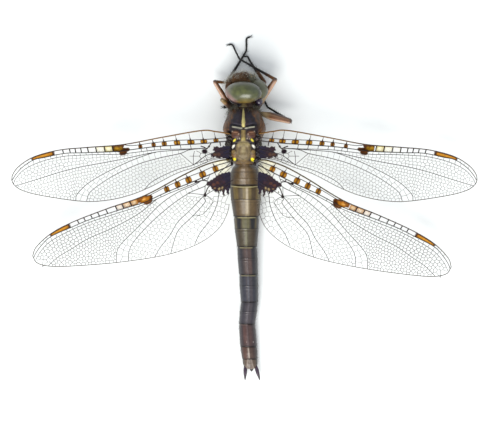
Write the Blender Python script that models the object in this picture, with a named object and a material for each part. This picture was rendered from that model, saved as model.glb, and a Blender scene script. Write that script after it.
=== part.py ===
"""Umber shadowdragon: a still, life-size dragonfly lying on its belly with its wings spread.

Frame: metres, +Z up, +Y towards the head, +X to the animal's right; the origin is on the floor under
the middle of the outline. Lengths below are millimetres, which MM turns into metres.
"""

import math

import bmesh
import bpy
from mathutils import Matrix, Vector

MM = 0.001
GAP = 0.06  # the thin cut that parts two pieces which touch
FLOOR = 0.0  # every piece that would reach lower lies flat on this level

# Thorax, front to rear: place along the body, width, underside, top and roundness of the roof.
THORAX = (
    (16.2, 3.7, 2.6, 5.4, 2.4),
    (15.5, 4.8, 1.0, 6.7, 2.3),
    (14.4, 5.8, 0.2, 7.6, 2.3),
    (13.3, 6.7, -0.15, 8.0, 2.5),
    (12.45, 6.9, -0.25, 7.9, 2.8),
    (11.2, 6.55, -0.25, 7.8, 3.0),
    (9.6, 6.0, -0.20, 7.6, 3.0),
    (8.2, 5.25, 0.1, 7.3, 2.8),
    (7.0, 4.15, 1.0, 6.25, 2.4),
)
THORAX_WAIST = 4  # the ring where the front half meets the rear half
THORAX_WIDEST = 0.46  # share of its height
THORAX_KEEL = 1.5  # a narrow underside, with the legs close together on both sides of it

# Wings: a hinge beside the thorax, a sweep back towards the tail and a droop towards the tip.
WING_THICKNESS = 0.5
WING_ROOT = 0.9  # how far the plate runs into the thorax before the cut
HINGE_X = 2.4
FORE_HINGE = (9.8, 7.1)  # along the body, above the floor
HIND_HINGE = (5.2, 6.8)
FORE_DROOP = 3.4
HIND_DROOP = 3.6
FORE_SWEEP = {"left": 8.7, "right": 8.7}
HIND_SWEEP = {"left": 22.0, "right": 25.3}
RUNGS = 34  # steps along a wing between its two edges

# Wing outlines, from the root to the tip, along the wing and towards its leading edge.
FORE_LEADING = (
    (-0.4, 2.0), (1.8, 2.7), (4.0, 3.2), (10.3, 3.1), (16.7, 2.9),
    (22.1, 3.3), (26.9, 3.6), (31.0, 3.2), (33.7, 2.1), (35.0, 0.9), (35.3, 0.0),
)
FORE_TRAILING = (
    (0.3, -1.8), (2.9, -1.7), (5.8, -2.4), (9.1, -3.0), (13.6, -4.5), (17.2, -5.3),
    (21.0, -5.5), (24.9, -5.0), (31.1, -3.1), (34.0, -1.8), (35.1, -0.7), (35.3, 0.0),
)
HIND_LEADING = (
    (-0.9, 2.3), (0.2, 2.7), (3.0, 3.0), (6.9, 2.8), (13.7, 2.1),
    (20.0, 2.4), (26.0, 2.5), (30.0, 2.1), (33.0, 1.0), (34.1, -0.1),
)
HIND_TRAILING = (
    (1.6, -4.0), (2.5, -5.4), (4.5, -7.1), (7.5, -8.1), (11.1, -8.3), (15.2, -7.8),
    (20.7, -6.5), (26.1, -4.9), (31.5, -3.0), (33.8, -1.5), (34.1, -0.1),
)

# Abdomen: at each joint, its place along the body and across it, width, height and clearance.
ABDOMEN = (
    (6.9, 0.00, 4.00, 4.3, 1.35),
    (5.8, 0.02, 4.60, 4.5, 1.25),
    (3.75, 0.08, 4.90, 4.3, 1.00),
    (-1.35, 0.30, 4.00, 3.5, 0.55),
    (-6.2, 0.42, 3.20, 3.0, 0.25),
    (-10.7, 0.66, 3.00, 2.8, 0.05),
    (-15.1, 0.82, 2.75, 2.6, -0.10),
    (-18.65, 0.42, 2.55, 2.4, -0.15),
    (-22.3, 0.68, 2.65, 2.3, -0.15),
    (-24.3, 0.88, 2.40, 2.0, -0.10),
    (-25.9, 1.00, 2.10, 1.6, 0.15),
)
ABDOMEN_WIDEST = 0.42
ABDOMEN_ROOF = 1.8  # a ridged back
ABDOMEN_KEEL = 2.6  # a flat underside
JOINT_PINCH = 0.96
LAST_TAPER = 0.62
CERCUS_LENGTH = 2.3
CERCUS_SPREAD = 0.85
CERCUS_SPLAY = {"left": -0.05, "right": 0.65}
CERCUS_LEVEL = 1.05
CERCUS_RADII = (0.28, 0.28, 0.25)
EPIPROCT = ((0.1, 0.4, 0.6), (0.15, -0.4, 0.5))  # from the end of the abdomen, and above the floor
EPIPROCT_RADII = (0.35, 0.25)
TAIL_TIP_ROOT = 0.4  # how far the tail tips start inside the last segment

# Head, before it is tipped: its own +Y is the face, and it hangs nose down and rolled to the right.
HEAD_CENTRE = (0.1, 18.5, 4.4)
HEAD_NOSE_DOWN = 15.0
HEAD_ROLL = 62.0
EYE_CENTRE = (1.5, -0.25, 0.35)
EYE_RADII = (2.05, 1.95, 2.8)
EYE_REAR = 0.75  # the rear half of an eye is flatter than the front half
EYE_LEAN = 17.0  # its long axis leans back at the top
# The other pieces of the head are cut from ellipsoids, each a centre and three radii.
FRONS = ((0.0, 1.75, 0.8), (1.45, 1.55, 1.2))
CLYPEUS = ((0.0, 1.75, -0.55), (1.75, 1.35, 1.15))
LABRUM = ((0.0, 1.4, -1.75), (1.5, 1.2, 0.95))
EYE_LOBE = ((1.6, -1.6, 1.2), (0.65, 0.6, 0.65))
HEAD_SHELL = ((0.0, -0.5, -0.3), (2.8, 1.35, 2.25))
ANTENNA = ((0.8, 1.9, 1.5), (1.3, 2.5, 2.0), (1.9, 3.0, 2.2))
ANTENNA_RADII = (0.28, 0.26, 0.25)
PROTHORAX = ((0.15, 16.4, 4.2), (1.4, 0.9, 1.6))

# Legs: where the coxa starts, the coxa meets the femur, the knee, the ankle, the toe and the claws.
LEGS = {
    "fore_left": ((-0.6, 16.3, 2.4), (-1.2, 16.6, 0.9), (-2.7, 20.4, 0.9),
                  (0.3, 25.3, 0.25), (0.35, 27.3, 0.22), (0.95, 27.6, 0.22)),
    "fore_right": ((0.6, 16.3, 2.4), (1.2, 16.6, 0.9), (3.3, 20.2, 1.1),
                   (1.2, 23.2, 0.25), (0.5, 24.4, 0.55), (0.0, 24.4, 0.95)),
    "mid_left": ((-0.7, 15.0, 1.1), (-1.4, 15.5, 1.4), (-3.6, 17.3, 5.7),
                 (-1.7, 16.6, 0.25), (-3.0, 16.3, 0.22), (-3.4, 16.25, 0.22)),
    "mid_right": ((0.8, 15.1, 1.3), (1.9, 15.4, 2.1), (7.4, 13.9, 4.1),
                  (3.7, 16.3, 0.25), (3.2, 17.4, 0.22), (2.9, 17.8, 0.22)),
    "hind_left": ((-0.9, 13.1, 0.6), (-1.75, 14.1, 0.6), (-4.8, 20.3, 2.6),
                  (0.9, 19.9, 0.5), (0.7, 18.2, 0.22), (0.5, 17.7, 0.22)),
    "hind_right": ((0.9, 13.1, 0.6), (1.75, 14.1, 0.6), (5.0, 20.6, 3.4),
                   (-0.8, 24.0, 1.15), (-1.95, 26.3, 0.22), (-2.6, 26.3, 0.22)),
}
COXA_RADII = (0.55, 0.55, 0.42)
FEMUR_RADIUS = 0.42
FEMUR_GIRTH = ((0.0, 0.7), (0.1, 1.0), (0.5, 1.0), (0.94, 0.85), (1.04, 0.6))  # share, size
SHIN_RADIUS = 0.25
KNEE_INSET = 0.03  # share of the shin that lies inside the knee


# ---- shared tools -------------------------------------------------------------------------------

def clear_scene():
    for old in list(bpy.data.objects):
        bpy.data.objects.remove(old, do_unlink=True)


def material(name, colour, roughness):
    made = bpy.data.materials.new(name)
    made.use_nodes = True
    shader = made.node_tree.nodes["Principled BSDF"]
    shader.inputs["Base Color"].default_value = (*colour, 1.0)
    shader.inputs["Roughness"].default_value = roughness
    shader.inputs["Metallic"].default_value = 0.0
    return made


def piece(name, bm, finish, parent=None):
    """An object from a mesh drawn in millimetres, with its faces pointing out."""
    bmesh.ops.recalc_face_normals(bm, faces=bm.faces)
    bmesh.ops.scale(bm, vec=(MM, MM, MM), verts=bm.verts)
    mesh = bpy.data.meshes.new(name)
    bm.to_mesh(mesh)
    bm.free()
    mesh.shade_smooth()
    mesh.set_sharp_from_angle(angle=math.radians(40))
    mesh.materials.append(finish)
    made = bpy.data.objects.new(name, mesh)
    made.parent = parent
    bpy.context.scene.collection.objects.link(made)
    return made


def carve(target, *neighbours):
    """Cuts a target back to a thin gap round its neighbours."""
    cutters = bpy.data.collections.new(f"cutters_{target.name}")
    bpy.context.scene.collection.children.link(cutters)
    for neighbour in neighbours:
        cutter = neighbour.copy()
        cutter.modifiers.clear()
        cutter.data = neighbour.data.copy()
        cutter.name = f"cutter_{target.name}_{neighbour.name}"
        normals = [vertex.normal.copy() for vertex in cutter.data.vertices]
        for vertex, normal in zip(cutter.data.vertices, normals):
            vertex.co += normal * GAP * MM
        cutter.hide_render = True
        cutter.display_type = "WIRE"
        cutters.objects.link(cutter)
    cut = target.modifiers.new("part", "BOOLEAN")
    cut.operation = "DIFFERENCE"
    cut.solver = "EXACT"
    cut.operand_type = "COLLECTION"
    cut.collection = cutters


def loft(rings):
    """A closed body through rings that hold the same number of points."""
    bm = bmesh.new()
    loops = [[bm.verts.new(point) for point in ring] for ring in rings]
    count = len(rings[0])
    for near, far in zip(loops, loops[1:]):
        for i in range(count):
            j = (i + 1) % count
            bm.faces.new((near[i], near[j], far[j], far[i]))
    bm.faces.new(loops[0])
    bm.faces.new(reversed(loops[-1]))
    return bm


def section(x, y, width, low, high, level, roof, keel, sides=16):
    """One ring across the body: a rounded top and underside that meet at the widest level."""
    ring = []
    for step in range(sides):
        turn = math.tau * step / sides
        across, up = math.cos(turn), math.sin(turn)
        power = 2 / (roof if up > 0 else keel)
        reach = (high - level) if up > 0 else (level - low)
        side_x = math.copysign(abs(across) ** power, across) * width / 2
        side_z = math.copysign(abs(up) ** power, up) * reach
        ring.append(Vector((x + side_x, y, max(level + side_z, FLOOR))))
    return ring


def ellipsoid(centre, radii, segments=18, rings=11):
    bm = bmesh.new()
    bmesh.ops.create_uvsphere(bm, u_segments=segments, v_segments=rings, radius=1.0)
    bmesh.ops.transform(bm, matrix=Matrix.LocRotScale(centre, None, radii), verts=bm.verts)
    return bm


def limb(points, radii, sides=8):
    """A tube along a short route with a radius at each point, flattened where it meets the floor."""
    points = [Vector(point) for point in points]
    rings = []
    for index, point in enumerate(points):
        before = points[max(index - 1, 0)]
        after = points[min(index + 1, len(points) - 1)]
        frame = (after - before).to_track_quat("Z", "Y")
        ring = []
        for step in range(sides):
            turn = math.tau * (step + 0.5) / sides
            rim = Vector((math.cos(turn), math.sin(turn), 0.0)) * radii[index]
            spot = point + frame @ rim
            ring.append(Vector((spot.x, spot.y, max(spot.z, FLOOR))))
        rings.append(ring)
    return loft(rings)


def smooth_curve(points, fractions):
    """Points on a Catmull-Rom curve through an outline's points, at fractions of its length."""
    points = [Vector(point) for point in points]
    points = [2 * points[0] - points[1], *points, 2 * points[-1] - points[-2]]
    fine = []
    for a, b, c, d in zip(points, points[1:], points[2:], points[3:]):
        for step in range(8):
            t = step / 8
            fine.append(0.5 * (2 * b + (c - a) * t + (2 * a - 5 * b + 4 * c - d) * t * t
                               + (3 * b - a - 3 * c + d) * t ** 3))
    fine.append(points[-2])
    lengths = [0.0]
    for a, b in zip(fine, fine[1:]):
        lengths.append(lengths[-1] + (b - a).length)
    found, index = [], 0
    for fraction in fractions:
        goal = fraction * lengths[-1]
        while index < len(fine) - 2 and lengths[index + 1] < goal:
            index += 1
        share = (goal - lengths[index]) / (lengths[index + 1] - lengths[index])
        found.append(fine[index].lerp(fine[index + 1], share))
    return found


# ---- thorax and abdomen -------------------------------------------------------------------------

def build_thorax(chitin):
    """Front and rear halves of the wing-bearing thorax, parted by the seam down its side."""
    rings = [section(0.0, y, width, low, high, THORAX_WIDEST * high, roof, THORAX_KEEL, sides=24)
             for y, width, low, high, roof in THORAX]
    waist = rings[THORAX_WAIST]
    rear_start = [point - Vector((0, GAP, 0)) for point in waist]
    front = piece("mesothorax", loft([*rings[:THORAX_WAIST], waist]), chitin)
    rear = piece("metathorax", loft([rear_start, *rings[THORAX_WAIST + 1:]]), chitin)
    return front, rear


def build_abdomen(chitin):
    """Ten ringed segments, each a little pinched at both joints, with a ridged back."""
    for number, (start, end) in enumerate(zip(ABDOMEN, ABDOMEN[1:]), 1):
        last = LAST_TAPER if end == ABDOMEN[-1] else JOINT_PINCH
        swell = ((0.0, JOINT_PINCH), (0.12, 1.0), (0.5, 1.03), (0.88, last ** 0.3), (1.0, last))
        rings = []
        for share, size in swell:
            y, x, width, height, low = (a + (b - a) * share for a, b in zip(start, end))
            if share in (0.0, 1.0):
                y += GAP * (share - 0.5)
            high = low + height * size
            level = low + ABDOMEN_WIDEST * height
            rings.append(section(x, y, width * size, low, high, level, ABDOMEN_ROOF, ABDOMEN_KEEL))
        segment = piece(f"abdomen_{number:02d}", loft(rings), chitin)
    return segment


def build_tail_tips(chitin, last_segment):
    """The pair of cerci and the short plate between them."""
    end_y, end_x = ABDOMEN[-1][:2]
    for side, sign in (("left", -1), ("right", 1)):
        base = Vector((end_x + sign * CERCUS_SPREAD, end_y + TAIL_TIP_ROOT, CERCUS_LEVEL))
        tip = base + Vector((CERCUS_SPLAY[side], -CERCUS_LENGTH, -0.3))
        route = (base, base.lerp(tip, 0.5), tip)
        cercus = piece(f"cercus_{side}", limb(route, CERCUS_RADII), chitin)
        carve(cercus, last_segment)
    route = [Vector((end_x + x, end_y + y, z)) for x, y, z in EPIPROCT]
    carve(piece("epiproct", limb(route, EPIPROCT_RADII), chitin), last_segment)


# ---- head ---------------------------------------------------------------------------------------

def build_eye(side, finish, pose):
    """A big eye, flat where it meets the other one along the seam on top of the head."""
    sign = 1 if side == "right" else -1
    centre = Vector((sign * EYE_CENTRE[0], EYE_CENTRE[1], EYE_CENTRE[2]))
    lean = Matrix.Rotation(math.radians(EYE_LEAN), 3, "X")
    bm = ellipsoid((0, 0, 0), EYE_RADII, 22, 14)
    for vertex in bm.verts:
        if vertex.co.y < 0:
            vertex.co.y *= EYE_REAR
        vertex.co = centre + lean @ vertex.co
        vertex.co.x = sign * max(sign * vertex.co.x, GAP / 2)
    return piece(f"eye_{side}", bm, finish, pose)


def build_head(chitin, face_brown, eye_green):
    pose = bpy.data.objects.new("head_pose", None)
    bpy.context.scene.collection.objects.link(pose)
    tilt = Matrix.Rotation(math.radians(HEAD_ROLL), 4, "Y") @ Matrix.Rotation(
        math.radians(-HEAD_NOSE_DOWN), 4, "X")
    pose.matrix_world = Matrix.Translation(Vector(HEAD_CENTRE) * MM) @ tilt
    eyes = [build_eye(side, eye_green, pose) for side in ("left", "right")]
    frons = piece("frons", ellipsoid(*FRONS), face_brown, pose)
    clypeus = piece("clypeus", ellipsoid(*CLYPEUS), face_brown, pose)
    labrum = piece("labrum", ellipsoid(*LABRUM), face_brown, pose)
    carve(frons, *eyes)
    carve(clypeus, *eyes, frons)
    carve(labrum, *eyes, frons, clypeus)
    lobes = []
    for side, sign in (("left", -1), ("right", 1)):
        across = Vector((sign, 1, 1))
        lobe_centre, lobe_radii = EYE_LOBE
        shape = ellipsoid(Vector(lobe_centre) * across, lobe_radii, 14, 9)
        lobe = piece(f"eye_lobe_{side}", shape, chitin, pose)
        carve(lobe, *eyes)
        lobes.append(lobe)
        route = [Vector(point) * across for point in ANTENNA]
        feeler = piece(f"antenna_{side}", limb(route, ANTENNA_RADII), chitin, pose)
        carve(feeler, frons, *eyes)
    head = piece("head", ellipsoid(*HEAD_SHELL, 22, 13), chitin, pose)
    carve(head, *eyes, frons, clypeus, labrum, *lobes)
    return head


def build_neck(chitin, head, mesothorax):
    neck = piece("prothorax", ellipsoid(*PROTHORAX), chitin)
    carve(neck, head, mesothorax)
    return neck


# ---- legs ---------------------------------------------------------------------------------------

def build_leg(name, points, blockers, femur_brown, leg_black):
    """Coxa, femur, tibia and tarsus, each cut back from the piece that carries it."""
    hip, root, knee, ankle, toe, claw = (Vector(point) for point in points)
    coxa = piece(f"coxa_{name}", limb((hip, hip.lerp(root, 0.5), root), COXA_RADII), femur_brown)
    carve(coxa, *blockers)
    route = [root.lerp(knee, share) for share, _ in FEMUR_GIRTH]
    girth = [size * FEMUR_RADIUS for _, size in FEMUR_GIRTH]
    femur = piece(f"femur_{name}", limb(route, girth), femur_brown)
    carve(femur, *blockers, coxa)
    route = (knee.lerp(ankle, KNEE_INSET), knee.lerp(ankle, 0.5), ankle)
    tibia = piece(f"tibia_{name}", limb(route, [SHIN_RADIUS] * 3), leg_black)
    carve(tibia, femur)
    route = (ankle, ankle.lerp(toe, 0.5), toe, claw)
    tarsus = piece(f"tarsus_{name}", limb(route, [SHIN_RADIUS] * 4), leg_black)
    carve(tarsus, tibia)


# ---- wings --------------------------------------------------------------------------------------

def build_wing(name, side, hinge, sweep, droop, leading, trailing, membrane):
    """A thin plate between a leading and a trailing edge, drooping towards its tip."""
    mirror = 1 if side == "right" else -1
    shares = [1 - (1 - step / RUNGS) ** 1.3 for step in range(RUNGS + 1)]
    length = leading[-1][0]
    front, back = smooth_curve(leading, shares), smooth_curve(trailing, shares)
    front.insert(0, front[0] - Vector((WING_ROOT, 0)))
    back.insert(0, back[0].lerp(front[0], 0.3))
    rings = []
    for lead, trail in zip(front[:-1], back[:-1]):
        upper, lower = [], []
        for share in (0.0, 0.25, 0.6, 1.0):
            spot = lead.lerp(trail, share)
            sag = droop * max(spot.x / length, 0.0) ** 1.3
            place = Vector((mirror * spot.x, spot.y, -sag))
            upper.append(place + Vector((0, 0, WING_THICKNESS / 2)))
            lower.append(place - Vector((0, 0, WING_THICKNESS / 2)))
        rings.append([*upper, *reversed(lower)])
    wing = piece(f"{name}_{side}", loft(rings), membrane)
    wing.location = Vector((mirror * HINGE_X, hinge[0], hinge[1])) * MM
    wing.rotation_euler.z = math.radians(-mirror * sweep)
    return wing


def build():
    clear_scene()
    chitin = material("chitin", (0.09, 0.055, 0.035), 0.35)
    face_brown = material("face_chitin", (0.25, 0.09, 0.03), 0.4)
    eye_green = material("compound_eye", (0.13, 0.15, 0.04), 0.2)
    femur_brown = material("femur_chitin", (0.3, 0.12, 0.06), 0.4)
    leg_black = material("leg_chitin", (0.02, 0.016, 0.015), 0.4)
    membrane = material("wing_membrane", (0.75, 0.72, 0.6), 0.25)

    mesothorax, metathorax = build_thorax(chitin)
    last_segment = build_abdomen(chitin)
    build_tail_tips(chitin, last_segment)
    head = build_head(chitin, face_brown, eye_green)
    prothorax = build_neck(chitin, head, mesothorax)
    for name, points in LEGS.items():
        build_leg(name, points, (mesothorax, metathorax, prothorax), femur_brown, leg_black)
    for side in ("left", "right"):
        fore = build_wing("forewing", side, FORE_HINGE, FORE_SWEEP[side], FORE_DROOP,
                          FORE_LEADING, FORE_TRAILING, membrane)
        hind = build_wing("hindwing", side, HIND_HINGE, HIND_SWEEP[side], HIND_DROOP,
                          HIND_LEADING, HIND_TRAILING, membrane)
        carve(fore, mesothorax, metathorax)
        carve(hind, metathorax)


build()
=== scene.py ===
"""A life-size umber shadowdragon, lying on its belly with its wings spread.

Lengths below are millimetres in the frame of the solids: +Y towards the head, +X to the animal's right,
the origin on the floor. MM turns them into metres.
"""

import math

import bpy
import numpy as np
from mathutils import Matrix, Vector
from mathutils.geometry import delaunay_2d_cdt


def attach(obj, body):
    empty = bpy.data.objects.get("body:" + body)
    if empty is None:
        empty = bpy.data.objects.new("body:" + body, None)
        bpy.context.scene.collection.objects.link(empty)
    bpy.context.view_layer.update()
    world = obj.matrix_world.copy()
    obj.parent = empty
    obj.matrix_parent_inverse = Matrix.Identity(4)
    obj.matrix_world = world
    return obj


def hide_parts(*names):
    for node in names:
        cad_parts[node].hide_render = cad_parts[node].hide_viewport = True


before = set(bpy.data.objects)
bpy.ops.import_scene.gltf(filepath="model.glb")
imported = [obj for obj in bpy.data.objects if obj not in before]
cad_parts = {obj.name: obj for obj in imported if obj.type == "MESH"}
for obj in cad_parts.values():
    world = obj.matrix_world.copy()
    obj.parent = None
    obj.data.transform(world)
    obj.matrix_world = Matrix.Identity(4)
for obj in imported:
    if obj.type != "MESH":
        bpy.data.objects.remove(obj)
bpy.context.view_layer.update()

MM = 0.001
chance = np.random.default_rng(7)


# ---- studio ---------------------------------------------------------------------------------------
# A white matt board under the animal, a soft lamp beyond its tail, and a strong even glow from the room
# that keeps shadows faint. The camera looks straight down from where a copy stand would hold it.

def linear(colour):
    """An sRGB hex colour as linear light."""
    parts = np.array([int(colour[i:i + 2], 16) / 255 for i in (1, 3, 5)])
    return np.where(parts <= 0.04045, parts / 12.92, ((parts + 0.055) / 1.055) ** 2.4)


def add(tree, kind, sockets=(), **settings):
    """Adds a node: each socket takes a value or the socket it is linked from."""
    made = tree.nodes.new("ShaderNode" + kind)
    for name, value in settings.items():
        setattr(made, name, value)
    for socket, value in dict(sockets).items():
        if isinstance(value, bpy.types.NodeSocket):
            tree.links.new(value, made.inputs[socket])
        else:
            made.inputs[socket].default_value = value
    return made


def new_finish(name, settings):
    """A material, its tree and its one Principled shader, with the values that are the same all over."""
    made = bpy.data.materials.new(name)
    made.use_nodes = True
    shader = made.node_tree.nodes["Principled BSDF"]
    for socket, value in settings.items():
        shader.inputs[socket].default_value = value
    return made, made.node_tree, shader


# Matt board: chalky white paper over card, with a faint cloudiness from its pulp.
BOARD = 4.0  # metres along each edge
BOARD_DROP = 0.00002  # metres, just under the feet
PULP_CLOUD = 18.0
matt_board, tree, shader = new_finish("matt_board", {"Roughness": 0.9, "Specular IOR Level": 0.2})
pulp = add(tree, "TexNoise", {"Scale": 1 / (PULP_CLOUD * MM), "Detail": 2.0})
cloud = add(tree, "ValToRGB", {"Fac": pulp.outputs["Fac"]})
cloud.color_ramp.elements[0].color = (*linear("#D8DBDC"), 1)
cloud.color_ramp.elements[1].color = (*linear("#DEE1E1"), 1)
tree.links.new(cloud.outputs["Color"], shader.inputs["Base Color"])
board_mesh = bpy.data.meshes.new("board")
corners = [(-BOARD / 2, -BOARD / 2), (BOARD / 2, -BOARD / 2), (BOARD / 2, BOARD / 2), (-BOARD / 2, BOARD / 2)]
board_mesh.from_pydata([(x, y, -BOARD_DROP) for x, y in corners], [], [(0, 1, 2, 3)])
board_mesh.materials.append(matt_board)
board = bpy.data.objects.new("board", board_mesh)
bpy.context.scene.collection.objects.link(board)

# The camera hangs high above the board, so that near and far parts keep their sizes.
CAMERA_AT = (0.9, -0.4)
CAMERA_HEIGHT = 625.0
BODY_HEIGHT = 5.0
FIELD = 80.0  # what the camera takes in from side to side at the height of the body
SENSOR = 36.0
camera = bpy.data.objects.new("camera", bpy.data.cameras.new("camera"))
camera.location = Vector((*CAMERA_AT, CAMERA_HEIGHT)) * MM
camera.data.sensor_width = SENSOR
camera.data.lens = SENSOR * (CAMERA_HEIGHT - BODY_HEIGHT) / FIELD
camera.data.clip_start = 0.01
camera.data.clip_end = 20.0
bpy.context.scene.collection.objects.link(camera)
bpy.context.scene.camera = camera
bpy.context.scene.view_settings.view_transform = "Standard"


def soft_lamp(name, place, size, watts, colour):
    """A rectangular lamp, placed and sized in metres, that faces the animal."""
    lamp = bpy.data.objects.new(name, bpy.data.lights.new(name, "AREA"))
    lamp.data.shape = "RECTANGLE"
    lamp.data.size, lamp.data.size_y = size
    lamp.data.energy = watts
    lamp.data.color = tuple(linear(colour))
    lamp.location = place
    lamp.rotation_mode = "QUATERNION"
    lamp.rotation_quaternion = (-Vector(place)).to_track_quat("-Z", "Y")
    bpy.context.scene.collection.objects.link(lamp)


# A broad lamp beyond the tail shapes the body, and a bright plain room fills the shadows.
soft_lamp("window", (-0.14, -0.52, 0.46), (0.5, 0.56), 9.0, "#FFFDF8")
world = bpy.data.worlds.new("room")
world.use_nodes = True
glow = world.node_tree.nodes["Background"]
glow.inputs["Color"].default_value = (*linear("#F3F6FA"), 1)
glow.inputs["Strength"].default_value = 0.945
bpy.context.scene.world = world


# ---- thorax ---------------------------------------------------------------------------------------
# One hard box of cuticle that carries wings and legs. Its front is two dark panels parted by a pale
# ridge; behind them pale bars and small plates lie between the wings, and its flanks are seamed.

def through(points, spots):
    """Points on a smooth curve through a few given ones: spots is a count, or shares of its length."""
    p = np.array(points, float)
    p = np.vstack([2 * p[0] - p[1], p, 2 * p[-1] - p[-2]])
    t = np.linspace(0, 1, 12, endpoint=False)[:, None]
    fine = [0.5 * (2 * b + (c - a) * t + (2 * a - 5 * b + 4 * c - d) * t ** 2
                   + (3 * b - a - 3 * c + d) * t ** 3)
            for a, b, c, d in zip(p, p[1:], p[2:], p[3:])]
    fine = np.vstack([*fine, p[-2:-1]])
    run = np.r_[0, np.cumsum(np.linalg.norm(np.diff(fine, axis=0), axis=1))]
    shares = np.linspace(0, 1, spots) if isinstance(spots, int) else np.asarray(spots)
    return np.stack([np.interp(shares * run[-1], run, column) for column in fine.T], 1)


def smooth_step(value, low, high):
    """0 up to the low value, easing up to 1 at the high one."""
    share = np.clip((value - low) / (high - low), 0, 1)
    return share * share * (3 - 2 * share)


def fade(value, low, high):
    """1 up to the low value, easing down to 0 at the high one."""
    return 1 - smooth_step(value, low, high)


def within(value, low, high, edge=0.12):
    """1 between two limits and 0 outside them, with soft edges."""
    return (smooth_step(value, low - edge / 2, low + edge / 2)
            * fade(value, high - edge / 2, high + edge / 2))


def blot(x, y, centre, radii, lean=0.0, edge=0.35):
    """A soft-edged oval mark."""
    a = math.radians(lean)
    dx, dy = x - centre[0], y - centre[1]
    u, v = dx * math.cos(a) + dy * math.sin(a), dy * math.cos(a) - dx * math.sin(a)
    return fade(np.hypot(u / radii[0], v / radii[1]), 1 - edge, 1 + edge)


def plain(colour, points):
    """One colour at every point, as a ground for marks."""
    return np.tile(linear(colour), (len(points), 1))


def coat(tint, colour, cover):
    """Lays one more colour over the ones below it."""
    tint += (linear(colour) - tint) * np.clip(cover, 0, 1)[:, None]


def ovals(tint, ground, across, along, marks):
    """Lays oval marks on part of the skin: colour, depth, centre, half sizes, lean, softness of the edge."""
    for colour, depth, centre, radii, lean, edge in marks:
        coat(tint, colour, depth * ground * blot(across, along, centre, radii, lean, edge))


def grid_faces(rows, columns, closed=True):
    """Quads between neighbouring rings; a closed ring joins its last column to its first."""
    row, column = np.mgrid[0:rows - 1, 0:columns if closed else columns - 1]
    row, column = row.ravel(), column.ravel()
    after = (column + 1) % columns
    return np.stack([row * columns + column, row * columns + after,
                     (row + 1) * columns + after, (row + 1) * columns + column], 1)


def shell_faces(rows, columns, inside_out=False):
    """Faces of a closed skin: rings of points and a cap at each end."""
    faces = [tuple(face) for face in grid_faces(rows, columns)]
    faces += [tuple(reversed(range(columns))), tuple((rows - 1) * columns + i for i in range(columns))]
    return [face[::-1] for face in faces] if inside_out else faces


def grid_normals(grid):
    """Outward direction at each point of a grid of rings, shaped rings by columns by 3."""
    along = np.gradient(grid, axis=0)
    around = np.roll(grid, -1, 1) - np.roll(grid, 1, 1)
    normal = np.cross(around, along)
    return normal / np.maximum(np.linalg.norm(normal, axis=2, keepdims=True), 1e-9)


def add_piece(name, points, faces, finish, tint, replaces=(), values=()):
    """A mesh in millimetres as a piece that rides on the animal, with its colour and values per point."""
    mesh = bpy.data.meshes.new(name)
    mesh.from_pydata((np.asarray(points) * MM).tolist(), [], [tuple(face) for face in faces])
    layer = mesh.attributes.new("tint", "FLOAT_COLOR", "POINT")
    layer.data.foreach_set("color", np.c_[tint, np.ones(len(tint))].astype(np.float32).ravel())
    for key, value in dict(values).items():
        layer = mesh.attributes.new(key, "FLOAT", "POINT")
        layer.data.foreach_set("value", np.asarray(value, np.float32))
    mesh.shade_smooth()
    mesh.materials.append(finish)
    made = bpy.data.objects.new(name, mesh)
    bpy.context.scene.collection.objects.link(made)
    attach(made, "root")
    if replaces:
        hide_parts(*replaces)
    return made


def clouded(tree, shader, cloud_mm, detail, rough, spread, low, high):
    """Feeds the shader the points' own colours under a cloudy noise, and gives back place and noise."""
    place = add(tree, "TexCoord")
    tint = add(tree, "Attribute", attribute_name="tint")
    cloud = add(tree, "TexNoise", {"Vector": place.outputs["Object"], "Scale": 1 / (cloud_mm * MM),
                                   "Detail": detail, "Roughness": rough})
    shade = add(tree, "MapRange", {"Value": cloud.outputs["Fac"], "From Min": 0.5 - spread,
                                   "From Max": 0.5 + spread, "To Min": low, "To Max": high})
    colour = add(tree, "VectorMath", {0: tint.outputs["Color"], 1: shade.outputs["Result"]},
                 operation="MULTIPLY")
    tree.links.new(colour.outputs["Vector"], shader.inputs["Base Color"])
    return place, cloud


def cuticle(name, roughness, grain_mm, depth_mm, mottle, wax, gleam=0.5):
    """Cuticle is layered chitin, hard and a little waxy: a satin skin with fine pitting and cloudy colour."""
    made, tree, shader = new_finish(name, {"IOR": 1.56, "Specular IOR Level": gleam, "Coat Weight": wax,
                                           "Coat Roughness": 0.25})
    place, cloud = clouded(tree, shader, 0.55, 4.0, 0.6, 0.2, 0.82 * (1 - mottle), 0.82 * (1 + mottle))
    pits = add(tree, "TexNoise", {"Vector": place.outputs["Object"], "Scale": 1 / (grain_mm * MM),
                                  "Detail": 3.0})
    relief = add(tree, "Bump", {"Height": pits.outputs["Fac"], "Distance": depth_mm * MM,
                                "Strength": 1.0})
    tree.links.new(relief.outputs["Normal"], shader.inputs["Normal"])
    polish = add(tree, "MapRange", {"Value": cloud.outputs["Fac"], "From Min": 0.3, "From Max": 0.7,
                                    "To Min": roughness - 0.06, "To Max": roughness + 0.06})
    tree.links.new(polish.outputs["Result"], shader.inputs["Roughness"])
    return made


# Thorax cuticle: thick and brown, satin, its highlights broken up by fine pits and hair roots.
thorax_cuticle = cuticle("thorax_cuticle", 0.42, 0.09, 0.02, 0.3, 0.02, 0.16)

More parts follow.
